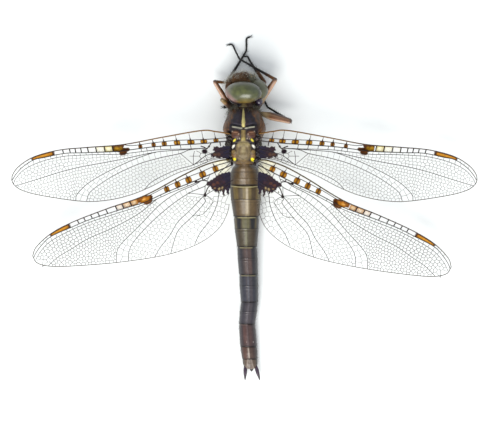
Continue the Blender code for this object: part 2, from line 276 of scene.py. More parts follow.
# Rings of the thorax from front to rear: place along the body, width, underside, top, roundness.
THORAX = (
    (16.2, 3.7, 2.6, 5.4, 2.4), (15.5, 4.8, 1.0, 6.7, 2.3), (14.4, 5.8, 0.2, 7.6, 2.3),
    (13.3, 6.7, -0.15, 8.0, 2.5), (12.45, 6.85, -0.25, 7.9, 2.8), (11.2, 5.75, -0.25, 7.8, 3.0),
    (9.6, 5.3, -0.2, 7.6, 3.0), (8.2, 4.75, 0.1, 7.3, 2.8), (7.0, 3.1, 1.0, 6.25, 2.3),
)
MIDLINE = -0.15
# Seams of the flanks: place along the body at the seam level, and how far each leans forward per millimetre.
SEAMS = ((13.6, 0.22), (11.1, 0.26), (9.2, 0.3))
SEAM_LEVEL = 3.5
# Plates between the wings: place off the midline and along the body, half sizes, height.
PLATES = (
    (1.25, 11.75, 0.75, 0.55, 0.18), (0.0, 11.5, 0.36, 1.0, 0.16), (1.42, 10.8, 0.4, 0.3, 0.14),
    (0.75, 10.2, 0.45, 0.42, 0.16), (0.0, 9.5, 0.42, 0.9, 0.14), (0.72, 9.0, 0.32, 0.8, 0.12),
    (0.0, 8.1, 0.75, 0.6, 0.14), (1.58, 8.95, 0.45, 0.42, 0.2), (1.72, 8.15, 0.42, 0.45, 0.16),
    (1.5, 7.7, 0.34, 0.4, 0.12), (0.75, 11.8, 0.14, 0.14, 0.08), (0.62, 11.1, 0.15, 0.13, 0.08),
)


def body_ring(x, y, width, low, high, level, roof, keel, sides):
    """One ring round the body: a rounded roof and keel that meet at the widest level."""
    turn = np.linspace(0, math.tau, sides, endpoint=False)
    across, up = np.cos(turn), np.sin(turn)
    power = np.where(up > 0, 2 / roof, 2 / keel)
    reach = np.where(up > 0, high - level, level - low)
    side_x = np.sign(across) * np.abs(across) ** power * width / 2
    side_z = np.sign(up) * np.abs(up) ** power * reach
    return np.stack([x + side_x, np.full(sides, y), np.maximum(level + side_z, 0.0)], 1)


RINGS, SIDES = 200, 300
rows = through(THORAX, RINGS)
grid = np.array([body_ring(0, y, width, low, high, 0.46 * high, roof, 1.5, SIDES)
                 for y, width, low, high, roof in rows])
x, y, z = grid[..., 0] - MIDLINE, grid[..., 1], grid[..., 2]
away = np.abs(x)
top = smooth_step(z, 5.2, 6.6)
flank = 1 - top
# Relief: the front's middle ridge and collar, the plates, the wing sockets and the seams.
raised = 0.10 * top * within(away, -1, 0.14, 0.2) * within(y, 12.9, 16.0, 0.6)
raised -= 0.06 * top * within(away, 0.18, 0.32, 0.12) * within(y, 12.9, 16.0, 0.6)
raised -= 0.34 * top * blot(away, y, (1.15, 13.12), (0.95, 0.28), 14, 0.5)
raised += 0.16 * top * blot(away, y, (1.1, 12.82), (0.75, 0.13), 12, 0.5)
for spot_x, spot_y, size_x, size_y, height in PLATES:
    raised += height * top * blot(away, y, (spot_x, spot_y), (size_x, size_y), edge=0.5)
raised -= 0.32 * top * within(away, 1.95, 2.6, 0.5) * within(y, 7.4, 12.3, 0.8)
raised -= 0.12 * top * fade(np.abs(y - 10.62 + 0.25 * away), 0.02, 0.14) * within(away, -1, 1.2, 0.2)
raised -= 0.12 * top * fade(np.abs(y - 7.3 - 0.2 * away), 0.02, 0.16) * within(away, -1, 1.6, 0.2)
for foot, lean in SEAMS:
    raised -= 0.10 * flank * fade(np.abs(y - foot - lean * (z - SEAM_LEVEL)), 0.03, 0.17)
grid = grid + grid_normals(grid) * raised[..., None]
grid[..., 2] = np.maximum(grid[..., 2], 0.0)

# Colours: warm brown flanks with dark seams, then the front's two dark panels, then the plates.
points = grid.reshape(-1, 3)
x, y, z = points[:, 0] - MIDLINE, points[:, 1], points[:, 2]
away = np.abs(x)
top = smooth_step(z, 4.9, 6.2)
streak = 0.5 + 0.5 * np.sin(x * 9.0 + np.sin(y * 3.1) * 2.0) * np.sin(y * 7.0 + 1.3)
tint = plain("#4A2F18", points)
coat(tint, "#5F4630", 0.7 * blot(y, z, (10.2, 3.6), (1.0, 2.6)))
coat(tint, "#2A1B12", 0.75 * fade(z, 1.0, 4.4))
for foot, lean in SEAMS:
    seam = np.abs(y - foot - lean * (z - SEAM_LEVEL))
    coat(tint, "#1A1210", 0.85 * fade(seam, 0.04, 0.24) * (1 - top))
coat(tint, "#6B441F", 0.6 * blot(away, y, (3.0, 12.6), (0.4, 1.4)))
coat(tint, "#3A2A22", 0.6 * blot(away, y, (2.3, 13.6), (0.25, 1.6), 8, 0.6))
cloud = np.sin(x * 5.3 + 2 * np.sin(y * 2.7)) * np.sin(y * 4.9 + z * 3.7 + 1.5 * np.sin(x * 3.1))
coat(tint, "#24150C", 0.55 * smooth_step(cloud, 0.15, 0.7) * (y > 12.3))
coat(tint, "#77491E", 0.45 * smooth_step(-cloud, 0.3, 0.8) * (y > 12.3))
edge = np.interp(y, (13.0, 13.6, 14.4, 15.4, 16.0), (2.2, 2.1, 1.75, 1.15, 0.9)) + 0.1 * np.sin(y * 7 + x)
coat(tint, "#211D25", top * smooth_step(edge - away, -0.14, 0.14) * within(y, 12.75, 15.9, 0.4))
coat(tint, "#39291F", 0.5 * top * smooth_step(cloud, 0.4, 0.8) * within(y, 13.3, 15.9, 0.4))
coat(tint, "#352430", 0.7 * top * within(away, 0.14, 0.55, 0.3) * within(y, 12.9, 15.9, 0.4) * streak)
ovals(tint, top, away, y, (
    ("#3A3442", 0.3, (0.95, 14.3), (0.3, 1.3), 14, 0.7),
    # Painted shade: near black in the groove above each pale bar, with a blue-grey line painted along its far
    # rim.
    ("#101018", 0.95, (1.15, 13.14), (0.8, 0.17), 14, 0.4),
    ("#4A4A58", 0.35, (1.25, 13.42), (0.5, 0.07), 18, 0.6),
))
coat(tint, "#B0A46A", top * within(away, -1, np.interp(y, (12.8, 13.6, 15.9), (0.21, 0.28, 0.1)), 0.08)
     * within(y, 12.8, 15.95, 0.2))
coat(tint, "#20191E", top * smooth_step(2.5 - away, 0, 0.3) * within(y, 7.2, 12.88, 0.15))
# Pale bars and reddish plates in front of the forewings.
coat(tint, "#CFCBB4", top * within(y - 0.17 * away, 12.57, 12.76, 0.1) * within(away, 0.22, 1.8, 0.2))
ovals(tint, top, away, y, (
    ("#120D10", 1, (0.0, 12.52), (0.24, 0.1), 0, 0.35),
    ("#4E3222", 1, (1.28, 11.72), (0.74, 0.62), -12, 0.3),
    ("#3A2224", 0.8, (1.3, 11.45), (0.45, 0.14), 15, 0.5),
    # A pale strip painted along the front edge of the reddish plate: a painted highlight.
    ("#8D6750", 0.75, (1.3, 12.06), (0.42, 0.1), 4, 0.5),
))
coat(tint, "#7C6A40", top * within(away, -1, 0.34, 0.14) * within(y, 10.5, 12.42, 0.2))
coat(tint, "#4A3B28", 0.7 * top * within(away, 0.16, 0.26, 0.08) * within(y, 10.9, 12.2, 0.2))
# The tan dome between the wings, and the smaller plates before, beside and behind it.
ovals(tint, top, away, y, (
    ("#9A8C4E", 1, (0.0, 10.85), (0.3, 0.36), 0, 0.4),
    ("#9C8C78", 0.85, (0.75, 11.8), (0.1, 0.1), 0, 0.5),
    ("#9C8C78", 0.85, (0.62, 11.1), (0.12, 0.12), 0, 0.5),
    ("#9C8C78", 0.85, (1.75, 12.2), (0.1, 0.1), 0, 0.5),
    ("#9C8C78", 0.85, (0.95, 11.0), (0.08, 0.08), 0, 0.5),
    ("#6A5B40", 1, (0.0, 9.05), (1.22, 1.75), 0, 0.2),
    ("#82744F", 0.9, (0.5, 10.2), (0.62, 0.32), -28, 0.35),
    ("#958A66", 0.7, (0.42, 10.45), (0.42, 0.06), -24, 0.6),
    ("#867A5A", 0.8, (0.0, 9.45), (0.3, 0.75), 0, 0.5),
    ("#4C3F2E", 0.5, (0.62, 9.15), (0.12, 0.8), 10, 0.6),
    ("#6A5C40", 0.7, (0.0, 8.15), (0.5, 0.42), 0, 0.4),
))
crease = np.abs(y - 7.75 - 0.55 * away)
coat(tint, "#3F3324", 0.4 * top * fade(crease, 0.03, 0.15) * (away < 0.75))
ovals(tint, top, away, y, (
    ("#5C4829", 0.85, (0.0, 7.2), (1.35, 0.42), 0, 0.3),
    ("#684E2C", 1, (1.64, 8.3), (0.5, 0.72), 0, 0.25),
    ("#6C5936", 1, (1.55, 8.95), (0.34, 0.32), 0, 0.3),
))
rim = np.abs(np.hypot(away - 1.55, y - 8.95) - 0.4)
coat(tint, "#3A2B20", 0.8 * top * fade(rim, 0.02, 0.1))
# Yellow and white spots at the roots of the wings.
ovals(tint, top, away, y, (
    ("#C9BC3A", 1, (1.4, 10.8), (0.3, 0.15), -48, 0.4),
    ("#E4E1D4", 1, (1.72, 9.72), (0.46, 0.18), -45, 0.4),
    ("#D3C51C", 1, (1.5, 7.68), (0.36, 0.24), -42, 0.4),
))
thorax_skin = grid
add_piece("thorax_shell", points, shell_faces(RINGS, SIDES), thorax_cuticle, tint,
          ("mesothorax", "metathorax"))

# The neck shield is a small saddle of cuticle between head and wings, with a rolled rear edge.
def oval_grid(centre, radii, rings, sides):
    """Rings from pole to pole of an oval body whose poles lie along Z."""
    down, turn = np.meshgrid(np.linspace(0.01, math.pi - 0.01, rings),
                             np.linspace(0, math.tau, sides, endpoint=False), indexing="ij")
    way = np.stack([np.sin(down) * np.cos(turn), np.sin(down) * np.sin(turn), np.cos(down)], 2)
    return way * np.array(radii) + np.array(centre), way


SHIELD_RINGS, SHIELD_SIDES = 40, 64
shield, way = oval_grid((0.15, 16.4, 4.2), (1.4, 0.9, 1.6), SHIELD_RINGS, SHIELD_SIDES)
shield += way * (0.06 * np.sin(shield[..., 1:2] * 9.0))
points = shield.reshape(-1, 3)
tint = plain("#3E2C24", points)
coat(tint, "#6F6140", blot(points[:, 0], points[:, 1], (-0.1, 16.2), (0.5, 0.5)))
coat(tint, "#1E2430", 0.8 * blot(points[:, 0], points[:, 1], (-1.0, 16.6), (0.55, 0.6)))
add_piece("neck_shield", points, shell_faces(SHIELD_RINGS, SHIELD_SIDES, True), thorax_cuticle,
          tint, ("prothorax",))


# ---- abdomen --------------------------------------------------------------------------------------
# Ten hard rings that slide a little into one another, joined by pale skin. Each has a ridge along its
# back and a thin raised hoop across its middle, and its rear rim stands proud over the next ring.

# Abdomen cuticle: smoother than the thorax, so that each ring carries a soft highlight along its back.
abdomen_cuticle = cuticle("abdomen_cuticle", 0.34, 0.11, 0.018, 0.18, 0.05, 0.3)
# Joints from front to rear: place along the body and across it, width, height, underside.
ABDOMEN = (
    (7.2, 0.00, 2.50, 4.7, 1.35), (5.8, 0.10, 4.50, 4.6, 1.25), (3.75, 0.18, 5.20, 4.3, 1.00),
    (-1.35, 0.32, 4.12, 3.5, 0.55), (-6.2, 0.42, 3.20, 3.0, 0.25), (-10.7, 0.66, 3.00, 2.8, 0.05),
    (-15.1, 0.82, 2.75, 2.6, -0.10), (-18.65, 0.42, 2.55, 2.4, -0.15), (-22.3, 0.68, 2.65, 2.3, -0.15),
    (-24.3, 0.88, 2.40, 2.0, -0.10), (-25.9, 1.00, 2.10, 1.6, 0.15),
)
# Ridge, back, side and edge colours of each ring, and how far along it the raised hoop lies. Each ridge
# colour is partly a painted highlight along the ring's top.
RING_COLOURS = (
    ("#604D35", "#56442C", "#4D3B25", "#30261C", None), ("#5F4C32", "#54432A", "#4C3B26", "#2C2219", 0.55),
    ("#7E7054", "#55452C", "#4C3B25", "#2A2018", 0.47), ("#59553F", "#403829", "#362D20", "#24201C", 0.41),
    ("#4C4040", "#382F2F", "#2B292E", "#1F1D21", 0.42), ("#47474F", "#30303A", "#2B2C35", "#1F1F25", 0.42),
    ("#4B464C", "#37333A", "#2F2C34", "#201E24", 0.45), ("#4F4041", "#3E2E2C", "#342A2D", "#231C20", None),
    ("#5B4A43", "#44342D", "#3B2D2A", "#28201F", None), ("#756A62", "#62544A", "#514338", "#2A221D", None),
)
# The pale line behind a joint: how plain it is, where it starts and ends across the ring, and its dip.
PALE_LINES = {3: (0.95, -0.95, 0.95, 0.26), 4: (0.85, -0.68, 0.72, 0.04), 5: (0.6, -0.75, 0.55, 0.03),
              6: (0.45, -0.85, 0.75, 0.03)}
# How far off the middle each ring's ridge line lies, in half widths.
RIDGE_AT = (0.0, 0.0, 0.08, -0.06, -0.06, -0.06, -0.06, -0.06, -0.06, -0.06)
RING_SIDES, ROW_STEP, FEWEST_ROWS = 120, 0.07, 16
for number, (start, end, colours) in enumerate(zip(ABDOMEN, ABDOMEN[1:], RING_COLOURS), 1):
    ridge, back, side, rim, hoop = colours
    last = number == 10
    length = start[0] - end[0]
    share = np.linspace(0, 1, max(FEWEST_ROWS, int(length / ROW_STEP)))
    lip = np.ones(len(share))
    if number > 2:
        lip = np.interp(share, (0, 0.05, 0.12, 0.5, 0.93, 1.0), (0.93, 0.955, 0.98, 1.01, 0.985, 1.0))
    if last:
        lip *= np.interp(share, (0, 0.5, 0.8, 0.93, 1.0), (1.0, 1.0, 0.9, 0.72, 0.5))
    rings, sides = len(share), RING_SIDES
    rows = np.array(start)[None] * (1 - share[:, None]) + np.array(end)[None] * share[:, None]
    grid = []
    for (ring_y, ring_x, width, height, low), size in zip(rows, lip):
        reach = low + height * (size if not last else 0.5 + 0.5 * size)
        grid.append(body_ring(ring_x, ring_y, width * size, low, reach, low + 0.42 * height, 2.1, 2.6, sides))
    grid = np.array(grid)
    x = (grid[..., 0] - rows[:, 1:2]) / (rows[:, 2:3] / 2)
    along = np.repeat(share[:, None], sides, 1)
    up = smooth_step(grid[..., 2] - rows[:, 4:5], 0.45 * rows[:, 3:4].mean(), 0.75 * rows[:, 3:4].mean())
    raised = 0.05 * up * fade(np.abs(x), 0.02, 0.09)
    raised += 0.035 * within(np.abs(x), 0.93, 1.1, 0.05) * (1 - up)
    if hoop:
        raised += 0.05 * fade(np.abs(along - hoop) * length, 0.02, 0.12)
        raised += 0.02 * fade(np.abs(along - hoop - 0.09) * length, 0.02, 0.12)
    if number == 1:
        raised += 0.08 * within(along, 0.45, 0.8, 0.2)
    grid = grid + grid_normals(grid) * raised[..., None]
    grid[..., 2] = np.maximum(grid[..., 2], 0.0)

    points = grid.reshape(-1, 3)
    x, along, up = x.ravel(), along.ravel(), up.ravel()
    away = np.abs(x - RIDGE_AT[number - 1])
    mm_along = along * length
    tint = plain(back, points)
    coat(tint, side, smooth_step(away, 0.35, 0.65))
    coat(tint, rim, 0.85 * smooth_step(away, 0.72, 0.97))
    coat(tint, rim, 0.8 * (1 - up) * fade(points[:, 2] - np.repeat(rows[:, 4], sides), 0.5, 1.3))
    # The ridge colour along the top of the back, partly a painted highlight.
    coat(tint, ridge, up * fade(away, 0.05, 0.22))
    # A narrow pale line painted along the ridge of rings 3 and 9: a painted highlight.
    if number in (3, 9):
        coat(tint, "#B5AA98", 0.7 * up * fade(away, 0.01, 0.09) * within(along, 0.12, 0.9, 0.15))
    if number < 3:
        arch = 0.12 + 0.5 * (away - 0.42) ** 2 * 4
        coat(tint, "#3F3224", 0.6 * up * fade(np.abs(along - arch), 0.01, 0.06) * (away < 0.85))
        coat(tint, "#86755A", 0.4 * up * blot(away, along, (0.22, 0.6), (0.04, 0.12), 0, 0.6))
    if number in (3, 4):
        front = within(along, 0.05, hoop, 0.04)
        coat(tint, "#64552E" if number == 3 else "#514629", 0.75 * front * within(away, 0.60, 0.88, 0.1))
        coat(tint, "#64562F" if number == 3 else "#605C40", 0.7 * front * within(away, 0.10, 0.30, 0.08))
        if number == 3:
            coat(tint, "#3A3020", 0.75 * front * within(away, 0.29, 0.55, 0.08))
        else:
            coat(tint, "#1B1C20", 0.95 * front * within(away, 0.36 + 0.25 * along, 0.74, 0.08))
    if number in (5, 6, 7):
        coat(tint, "#4E3C38" if number == 5 else "#3E383C",
             0.7 * up * within(x, -0.3, 0.42, 0.2) * within(away, 0.1, 0.5, 0.1))
        coat(tint, "#26262D", 0.6 * within(away, 0.45, 0.75, 0.15) * within(along, 0.05, 0.45, 0.2))
    if hoop and number < 8:
        coat(tint, "#15110F", 0.7 * within(along, hoop - 0.012, hoop + 0.012, 0.02))
        coat(tint, "#1C1714", 0.35 * within(along, hoop + 0.08, hoop + 0.10, 0.02))
    pale, left, right, dip = PALE_LINES.get(number, (0, 0, 0, 0))
    bow = dip * (1 - x * x)
    coat(tint, "#A89F76", pale * up * fade(np.abs(mm_along - 0.17 - bow), 0.03, 0.11)
         * within(x, left, right, 0.2))
    if number > 1:
        coat(tint, "#221A14", 0.8 * up * within(mm_along, -1, 0.08 + bow, 0.05))
        coat(tint, "#0F0C0C", within(mm_along, -1, 0.07, 0.05) * (0.35 if number == 2 else 1))
    if 1 < number < 10:
        lip_line = length - (0.05 if number == 2 else 0.09)
        coat(tint, "#120E0E", 0.9 * within(mm_along, lip_line, length + 1, 0.06))
    if number == 8:
        for spot in (-0.2, 0.62):
            coat(tint, "#C9C2BA", blot(x, mm_along, (spot, length - 0.75), (0.035, 0.05)))
        coat(tint, "#4E3330", 0.7 * up * within(x, -0.55, -0.1, 0.2) * within(along, 0.1, 0.85, 0.2))
        coat(tint, "#4C3836", 0.5 * up * within(x, 0.2, 0.6, 0.2) * within(along, 0.1, 0.85, 0.2))
        coat(tint, "#8A7470", 0.6 * up * within(mm_along, 0.1, 0.2, 0.08) * within(x, -0.9, 0.1, 0.2))
    if number == 9:
        coat(tint, "#54382E", 0.6 * up * within(x, -0.8, -0.25, 0.2))
        coat(tint, "#8E827C", 0.5 * up * within(away, -1, 0.1, 0.1) * within(along, 0.1, 0.8, 0.3))
    if number == 10:
        coat(tint, "#8B8078", 0.7 * up * within(away, 0.1 + 0.35 * along, 0.26 + 0.35 * along, 0.12))
        coat(tint, "#3A2A22", 0.8 * up * within(away, -1, 0.08, 0.08) * within(along, 0.45, 1, 0.2))
    add_piece(f"abdomen_ring_{number:02d}", points, shell_faces(rings, sides), abdomen_cuticle,
              tint, (f"abdomen_{number:02d}",))


# ---- tail tips ------------------------------------------------------------------------------------
# Two leaf-shaped cerci and a short plate between them, black hard cuticle, hinged on the last ring.

def tube(path, radii, sides, flat=1.0):
    """Points and faces of a closed tube along a path, with a radius at each point."""
    path, radii = np.array(path, float), np.array(radii, float)
    points = []
    for i, (spot, radius) in enumerate(zip(path, radii)):
        way = Vector(path[min(i + 1, len(path) - 1)] - path[max(i - 1, 0)])
        turned = way.to_track_quat("Z", "Y").to_matrix()
        turn = np.linspace(0, math.tau, sides, endpoint=False)
        rim = np.stack([np.cos(turn), np.sin(turn) * flat, np.zeros(sides)], 1) * radius
        points.append(spot + rim @ np.array(turned).T)
    count = len(path)
    faces = [tuple(f) for f in grid_faces(count, sides)]
    faces += [tuple(reversed(range(sides))), tuple((count - 1) * sides + i for i in range(sides))]
    return np.vstack(points), faces


def joined(parts):
    """Several sets of points and faces as one."""
    points, faces, base = [], [], 0
    for part_points, part_faces in parts:
        points.append(part_points)
        faces += [tuple(i + base for i in face) for face in part_faces]
        base += len(part_points)
    return np.vstack(points), faces


# Black cuticle: hard, near black, with a narrow sheen along its edges.
black_cuticle = cuticle("black_cuticle", 0.36, 0.06, 0.015, 0.2, 0.03, 0.22)
TAIL_X, TAIL_Y = 1.0, -25.9
CERCUS_ROWS = 16
for side, sign, splay in (("left", -1, -0.05), ("right", 1, 0.65)):
    base = np.array((TAIL_X + sign * 0.85, TAIL_Y + 0.5, 1.05))
    path = through((base, base + (splay * 0.35, -0.9, 0.02), base + (splay * 0.7, -1.7, -0.1),
                    base + (splay, -2.4, -0.28)), CERCUS_ROWS)
    radii = np.interp(np.linspace(0, 1, CERCUS_ROWS), (0, 0.25, 0.5, 0.85, 1), (0.2, 0.3, 0.28, 0.13, 0.03))
    points, faces = tube(path, radii, 12, 0.6)
    tint = plain("#241C24", points)
    coat(tint, "#4A3B4E", 0.5 * smooth_step(points[:, 2], 1.0, 1.2))
    add_piece(f"cercus_leaf_{side}", points, faces, black_cuticle, tint, (f"cercus_{side}",))
points, faces = tube(through(((TAIL_X + 0.1, TAIL_Y + 0.4, 0.6), (TAIL_X + 0.15, TAIL_Y - 0.1, 0.62),
                              (TAIL_X + 0.15, TAIL_Y - 0.45, 0.55)), 8),
                     (0.4, 0.4, 0.38, 0.34, 0.28, 0.22, 0.16, 0.05), 12, 0.55)
add_piece("tail_plate", points, faces, black_cuticle, plain("#1C1617", points), ("epiproct",))


# ---- head -----------------------------------------------------------------------------------------
# A thin shell almost covered by two big eyes that meet along a seam on top, and in front of them a
# rounded brown face of four stacked plates. It lies rolled to the right, the left eye uppermost.

HEAD_AT, ROLL, NOD = (0.1, 18.5, 4.4), 62, -15
HEAD_POSE = (Matrix.Translation(HEAD_AT) @ Matrix.Rotation(math.radians(ROLL), 4, "Y")
             @ Matrix.Rotation(math.radians(NOD), 4, "X"))


def in_head(points):
    """Points of the head's own upright frame where the tipped head has them."""
    pose = np.array(HEAD_POSE)
    return np.asarray(points) @ pose[:3, :3].T + pose[:3, 3]


# Eyes: clear cornea over pigment, thousands of hexagonal facets about 0.045 mm across. They are drawn
# at twice that size so that they still show, as a fine grain that softens the wet-looking gloss.
FACET = 0.045
eye_cornea, tree, shader = new_finish("eye_cornea", {
    "Roughness": 0.5, "IOR": 1.5, "Specular IOR Level": 0.2,
    "Coat Weight": 1.0, "Coat Roughness": 0.25, "Coat IOR": 1.42})
place, _ = clouded(tree, shader, 0.8, 3.0, 0.5, 0.15, 0.62, 1.04)
facet = add(tree, "TexVoronoi", {"Vector": place.outputs["Object"], "Scale": 1 / (2 * FACET * MM)})
relief = add(tree, "Bump", {"Height": facet.outputs["Distance"], "Distance": 0.01 * MM, "Strength": 0.5},
             invert=True)
tree.links.new(relief.outputs["Normal"], shader.inputs["Normal"])

EYE_LEAN, EYE_REAR, SEAM_HALF = 17.0, 0.9, 0.03
EYE_RINGS, EYE_SIDES = 120, 180
for side, sign, centre, radii in (("left", -1, (-1.5, -0.23, 0.44), (2.15, 1.87, 3.1)),
                                  ("right", 1, (1.5, 0.25, 0.55), (2.12, 2.0, 2.72))):
    eye, way = oval_grid((0, 0, 0), radii, EYE_RINGS, EYE_SIDES)
    points, way = eye.reshape(-1, 3), way.reshape(-1, 3)
    points[:, 1] *= np.where(points[:, 1] < 0, EYE_REAR, 1.0)
    lean = np.array(Matrix.Rotation(math.radians(EYE_LEAN), 3, "X"))
    points = points @ lean.T + np.array(centre)
    points[:, 0] = sign * np.maximum(sign * points[:, 0], SEAM_HALF)
    out, front, up = sign * way[:, 0], way[:, 1], way[:, 2]
    tint = plain("#3F4322", points)
    coat(tint, "#4A4F24", 0.8 * blot(front, up, (0.2, 0.1), (0.5, 0.5), 0, 0.6))
    # Painted shade: the eye's front border is darkened where it meets the face.
    coat(tint, "#33301F", 0.85 * smooth_step(front, 0.5, 0.92))
    coat(tint, "#3F4836", 0.6 * smooth_step(up, 0.45, 0.85) * smooth_step(front, -0.3, 0.3))
    coat(tint, "#5C5A4C", 0.8 * smooth_step(-up, 0.15, 0.6))
    coat(tint, "#7A5C58", 0.85 * smooth_step(-up - 0.6 * front, 0.38, 0.78))
    coat(tint, "#6A5C38", 0.7 * smooth_step(-front, 0.35, 0.8) * smooth_step(up, -0.2, 0.3))
    coat(tint, "#6F5A22", 0.9 * smooth_step(-front, 0.78, 0.93) * within(up, -0.25, 0.75, 0.25))
    # Painted shade: the inner half of each eye is darkened towards the seam between the eyes.
    coat(tint, "#2B2B24", 0.6 * smooth_step(-out, -0.35, -0.1))
    if side == "right":
        coat(tint, "#6A6C50", np.full(len(tint), 0.35))
    add_piece(f"eye_dome_{side}", in_head(points), shell_faces(EYE_RINGS, EYE_SIDES, True), eye_cornea,
              tint, (f"eye_{side}",))

# Face: matt hairy cuticle, reddish brown, pitted like orange peel, with a groove down the forehead.
face_cuticle = cuticle("face_cuticle", 0.5, 0.12, 0.06, 0.42, 0.0, 0.15)
PLATE_RINGS, PLATE_SIDES = 56, 84


def face_plate(name, centre, radii, base, groove=0, creases=(), replaces=(),
               finish=face_cuticle):
    """A rounded plate of the head: a groove runs down its middle and creases cross it at their levels."""
    shape, way = oval_grid(centre, radii, PLATE_RINGS, PLATE_SIDES)
    points, way = shape.reshape(-1, 3), way.reshape(-1, 3)
    front = smooth_step(way[:, 1], 0.2, 0.7)
    tint = plain(base, points)
    if groove:
        dent = np.exp(-((points[:, 0] - centre[0]) / 0.16) ** 2) * front
        points = points - way * (groove * dent)[:, None]
        coat(tint, "#35211A", 0.5 * dent)
    for level in creases:
        dent = np.exp(-((points[:, 2] - level) / 0.07) ** 2) * front
        points = points - way * (0.09 * dent)[:, None]
        coat(tint, "#2C1B16", 0.8 * dent)
    add_piece(name, in_head(points), shell_faces(PLATE_RINGS, PLATE_SIDES, True), finish, tint,
              replaces)


face_plate("forehead", (-0.1, 1.85, 0.5), (1.5, 1.5, 1.15), "#4C3318", 0.16, (1.1,), replaces=("frons",))
face_plate("face_shield", (0, 2.1, -0.55), (1.75, 1.35, 1.2), "#513619", 0, (-0.35, -1.1),
           replaces=("clypeus",))
face_plate("upper_lip", (0, 1.9, -1.8), (1.5, 1.2, 1.0), "#47301A", 0.08, (-1.45,), replaces=("labrum",))
for side, sign in (("left", -1), ("right", 1)):
    face_plate(f"jaw_{side}", (sign * 1.4, 1.35, -1.75), (0.55, 0.8, 0.75), "#4A2F18")
face_plate("lower_lip", (0, 0.8, -2.2), (1.4, 1.3, 0.65), "#6B5134")
face_plate("head_shell", (0, -0.5, -0.3), (2.8, 1.35, 2.25), "#33282A",
           replaces=("head",), finish=thorax_cuticle)
face_plate("crown", (0.45, 1.95, 1.4), (1.15, 0.7, 0.7), "#5A5848")
face_plate("nape_wedge", (0, -1.2, 2.2), (0.6, 0.45, 0.42), "#6B5630",
           finish=thorax_cuticle)

# The lobes behind the eyes and the three simple eyes on the crown are bare, smooth cuticle that glints. The
# two lobes are alike: the left is painted ochre as if lit, the right dark purple as painted shade.
bare_gloss = cuticle("bare_gloss", 0.26, 0.2, 0.004, 0.1, 0.3)
# Left lobe: ochre, painted as lit.
face_plate("eye_lobe_ball_left", (-1.6, -1.6, 1.2), (0.6, 0.5, 0.6), "#6B5630",
           replaces=("eye_lobe_left",), finish=bare_gloss)
# Right lobe: dark purple, painted shade.
face_plate("eye_lobe_ball_right", (1.1, -1.9, 1.5), (0.6, 0.66, 0.6), "#2A2036",
           replaces=("eye_lobe_right",), finish=bare_gloss)
for name, spot in (("mid", (0, 2.5, 1.72)), ("left", (-0.3, 2.1, 1.91)), ("right", (0.5, 2.15, 2.06))):
    face_plate(f"ocellus_{name}", spot, (0.13, 0.13, 0.13), "#8F7A58", finish=bare_gloss)

# Feelers: two stout joints and a bristle finer than a hair, dark brown.
FEELER = ((0.8, 1.9, 1.5), (1.0, 2.4, 1.8), (1.3, 2.75, 1.95), (1.75, 3.0, 2.0))
FEELER_ROWS = 20
for side, sign in (("left", -1), ("right", 1)):
    path = through(np.array(FEELER) * (sign, 1, 1), FEELER_ROWS)
    radii = np.interp(np.linspace(0, 1, FEELER_ROWS), (0, 0.28, 0.32, 0.5, 0.55, 1),
                      (0.12, 0.12, 0.09, 0.08, 0.035, 0.015))
    points, faces = tube(path, radii, 8)
    add_piece(f"feeler_{side}", in_head(points), faces, black_cuticle,
              plain("#4A3C30", points), (f"antenna_{side}",))


# ---- legs -----------------------------------------------------------------------------------------
# Six jointed legs folded forward. The thighs are two-toned, dark red-brown on one side and pale pinkish
# tan on the other; shins and feet are black and wiry, edged with bristles, each foot with two claws.

# Thigh cuticle: thinner and a little waxy, so that its pale side looks warm.
thigh_cuticle = cuticle("thigh_cuticle", 0.38, 0.08, 0.02, 0.14, 0.15)
# Each leg's hip, the root of its thigh, knee, ankle, toe and the tip of its claws.
LEGS = {
    "fore_left": ((-0.6, 16.3, 2.4), (-1.2, 16.6, 0.9), (-2.7, 20.4, 0.9),
                  (0.3, 25.3, 0.25), (0.35, 27.3, 0.22), (0.95, 27.6, 0.22)),
    "fore_right": ((0.6, 16.3, 2.4), (1.2, 16.6, 0.9), (3.3, 20.2, 1.1),
                   (1.2, 23.2, 0.25), (0.5, 24.4, 0.55), (0.0, 24.4, 0.95)),
    "mid_left": ((-0.7, 15.0, 1.1), (-1.4, 15.5, 1.4), (-3.6, 17.3, 5.7),
                 (-1.7, 16.6, 0.25), (-3.0, 16.3, 0.22), (-3.4, 16.25, 0.22)),
    "mid_right": ((0.8, 15.1, 1.3), (1.9, 15.4, 2.1), (7.4, 13.9, 4.1),
                  (3.7, 16.3, 0.25), (3.2, 17.4, 0.22), (2.9, 17.8, 0.22)),
    "hind_left": ((-0.9, 13.1, 0.6), (-1.75, 14.1, 0.6), (-4.8, 20.3, 2.6),
                  (0.9, 19.9, 0.5), (0.7, 18.2, 0.22), (0.5, 17.7, 0.22)),
    "hind_right": ((0.9, 13.1, 0.6), (1.75, 14.1, 0.6), (5.0, 20.6, 3.4),
                   (-0.8, 24.0, 1.15), (-1.95, 26.3, 0.22), (-2.6, 26.3, 0.22)),
}
SHIN, FOOT = 0.19, 0.14
HIP_ROWS, THIGH_ROWS, SHIN_ROWS, FOOT_ROWS = 8, 26, 16, 22
HIP_SIDES, THIGH_SIDES, SHIN_SIDES, FOOT_SIDES = 20, 24, 12, 10
# The hind thighs bow in under the neck between hip and knee.
BOWED = {"hind_left": ((-2.1, 15.8, 0.9), (-2.85, 17.2, 1.35)),
         "hind_right": ((1.7, 15.6, 0.9), (2.5, 17.0, 1.5))}


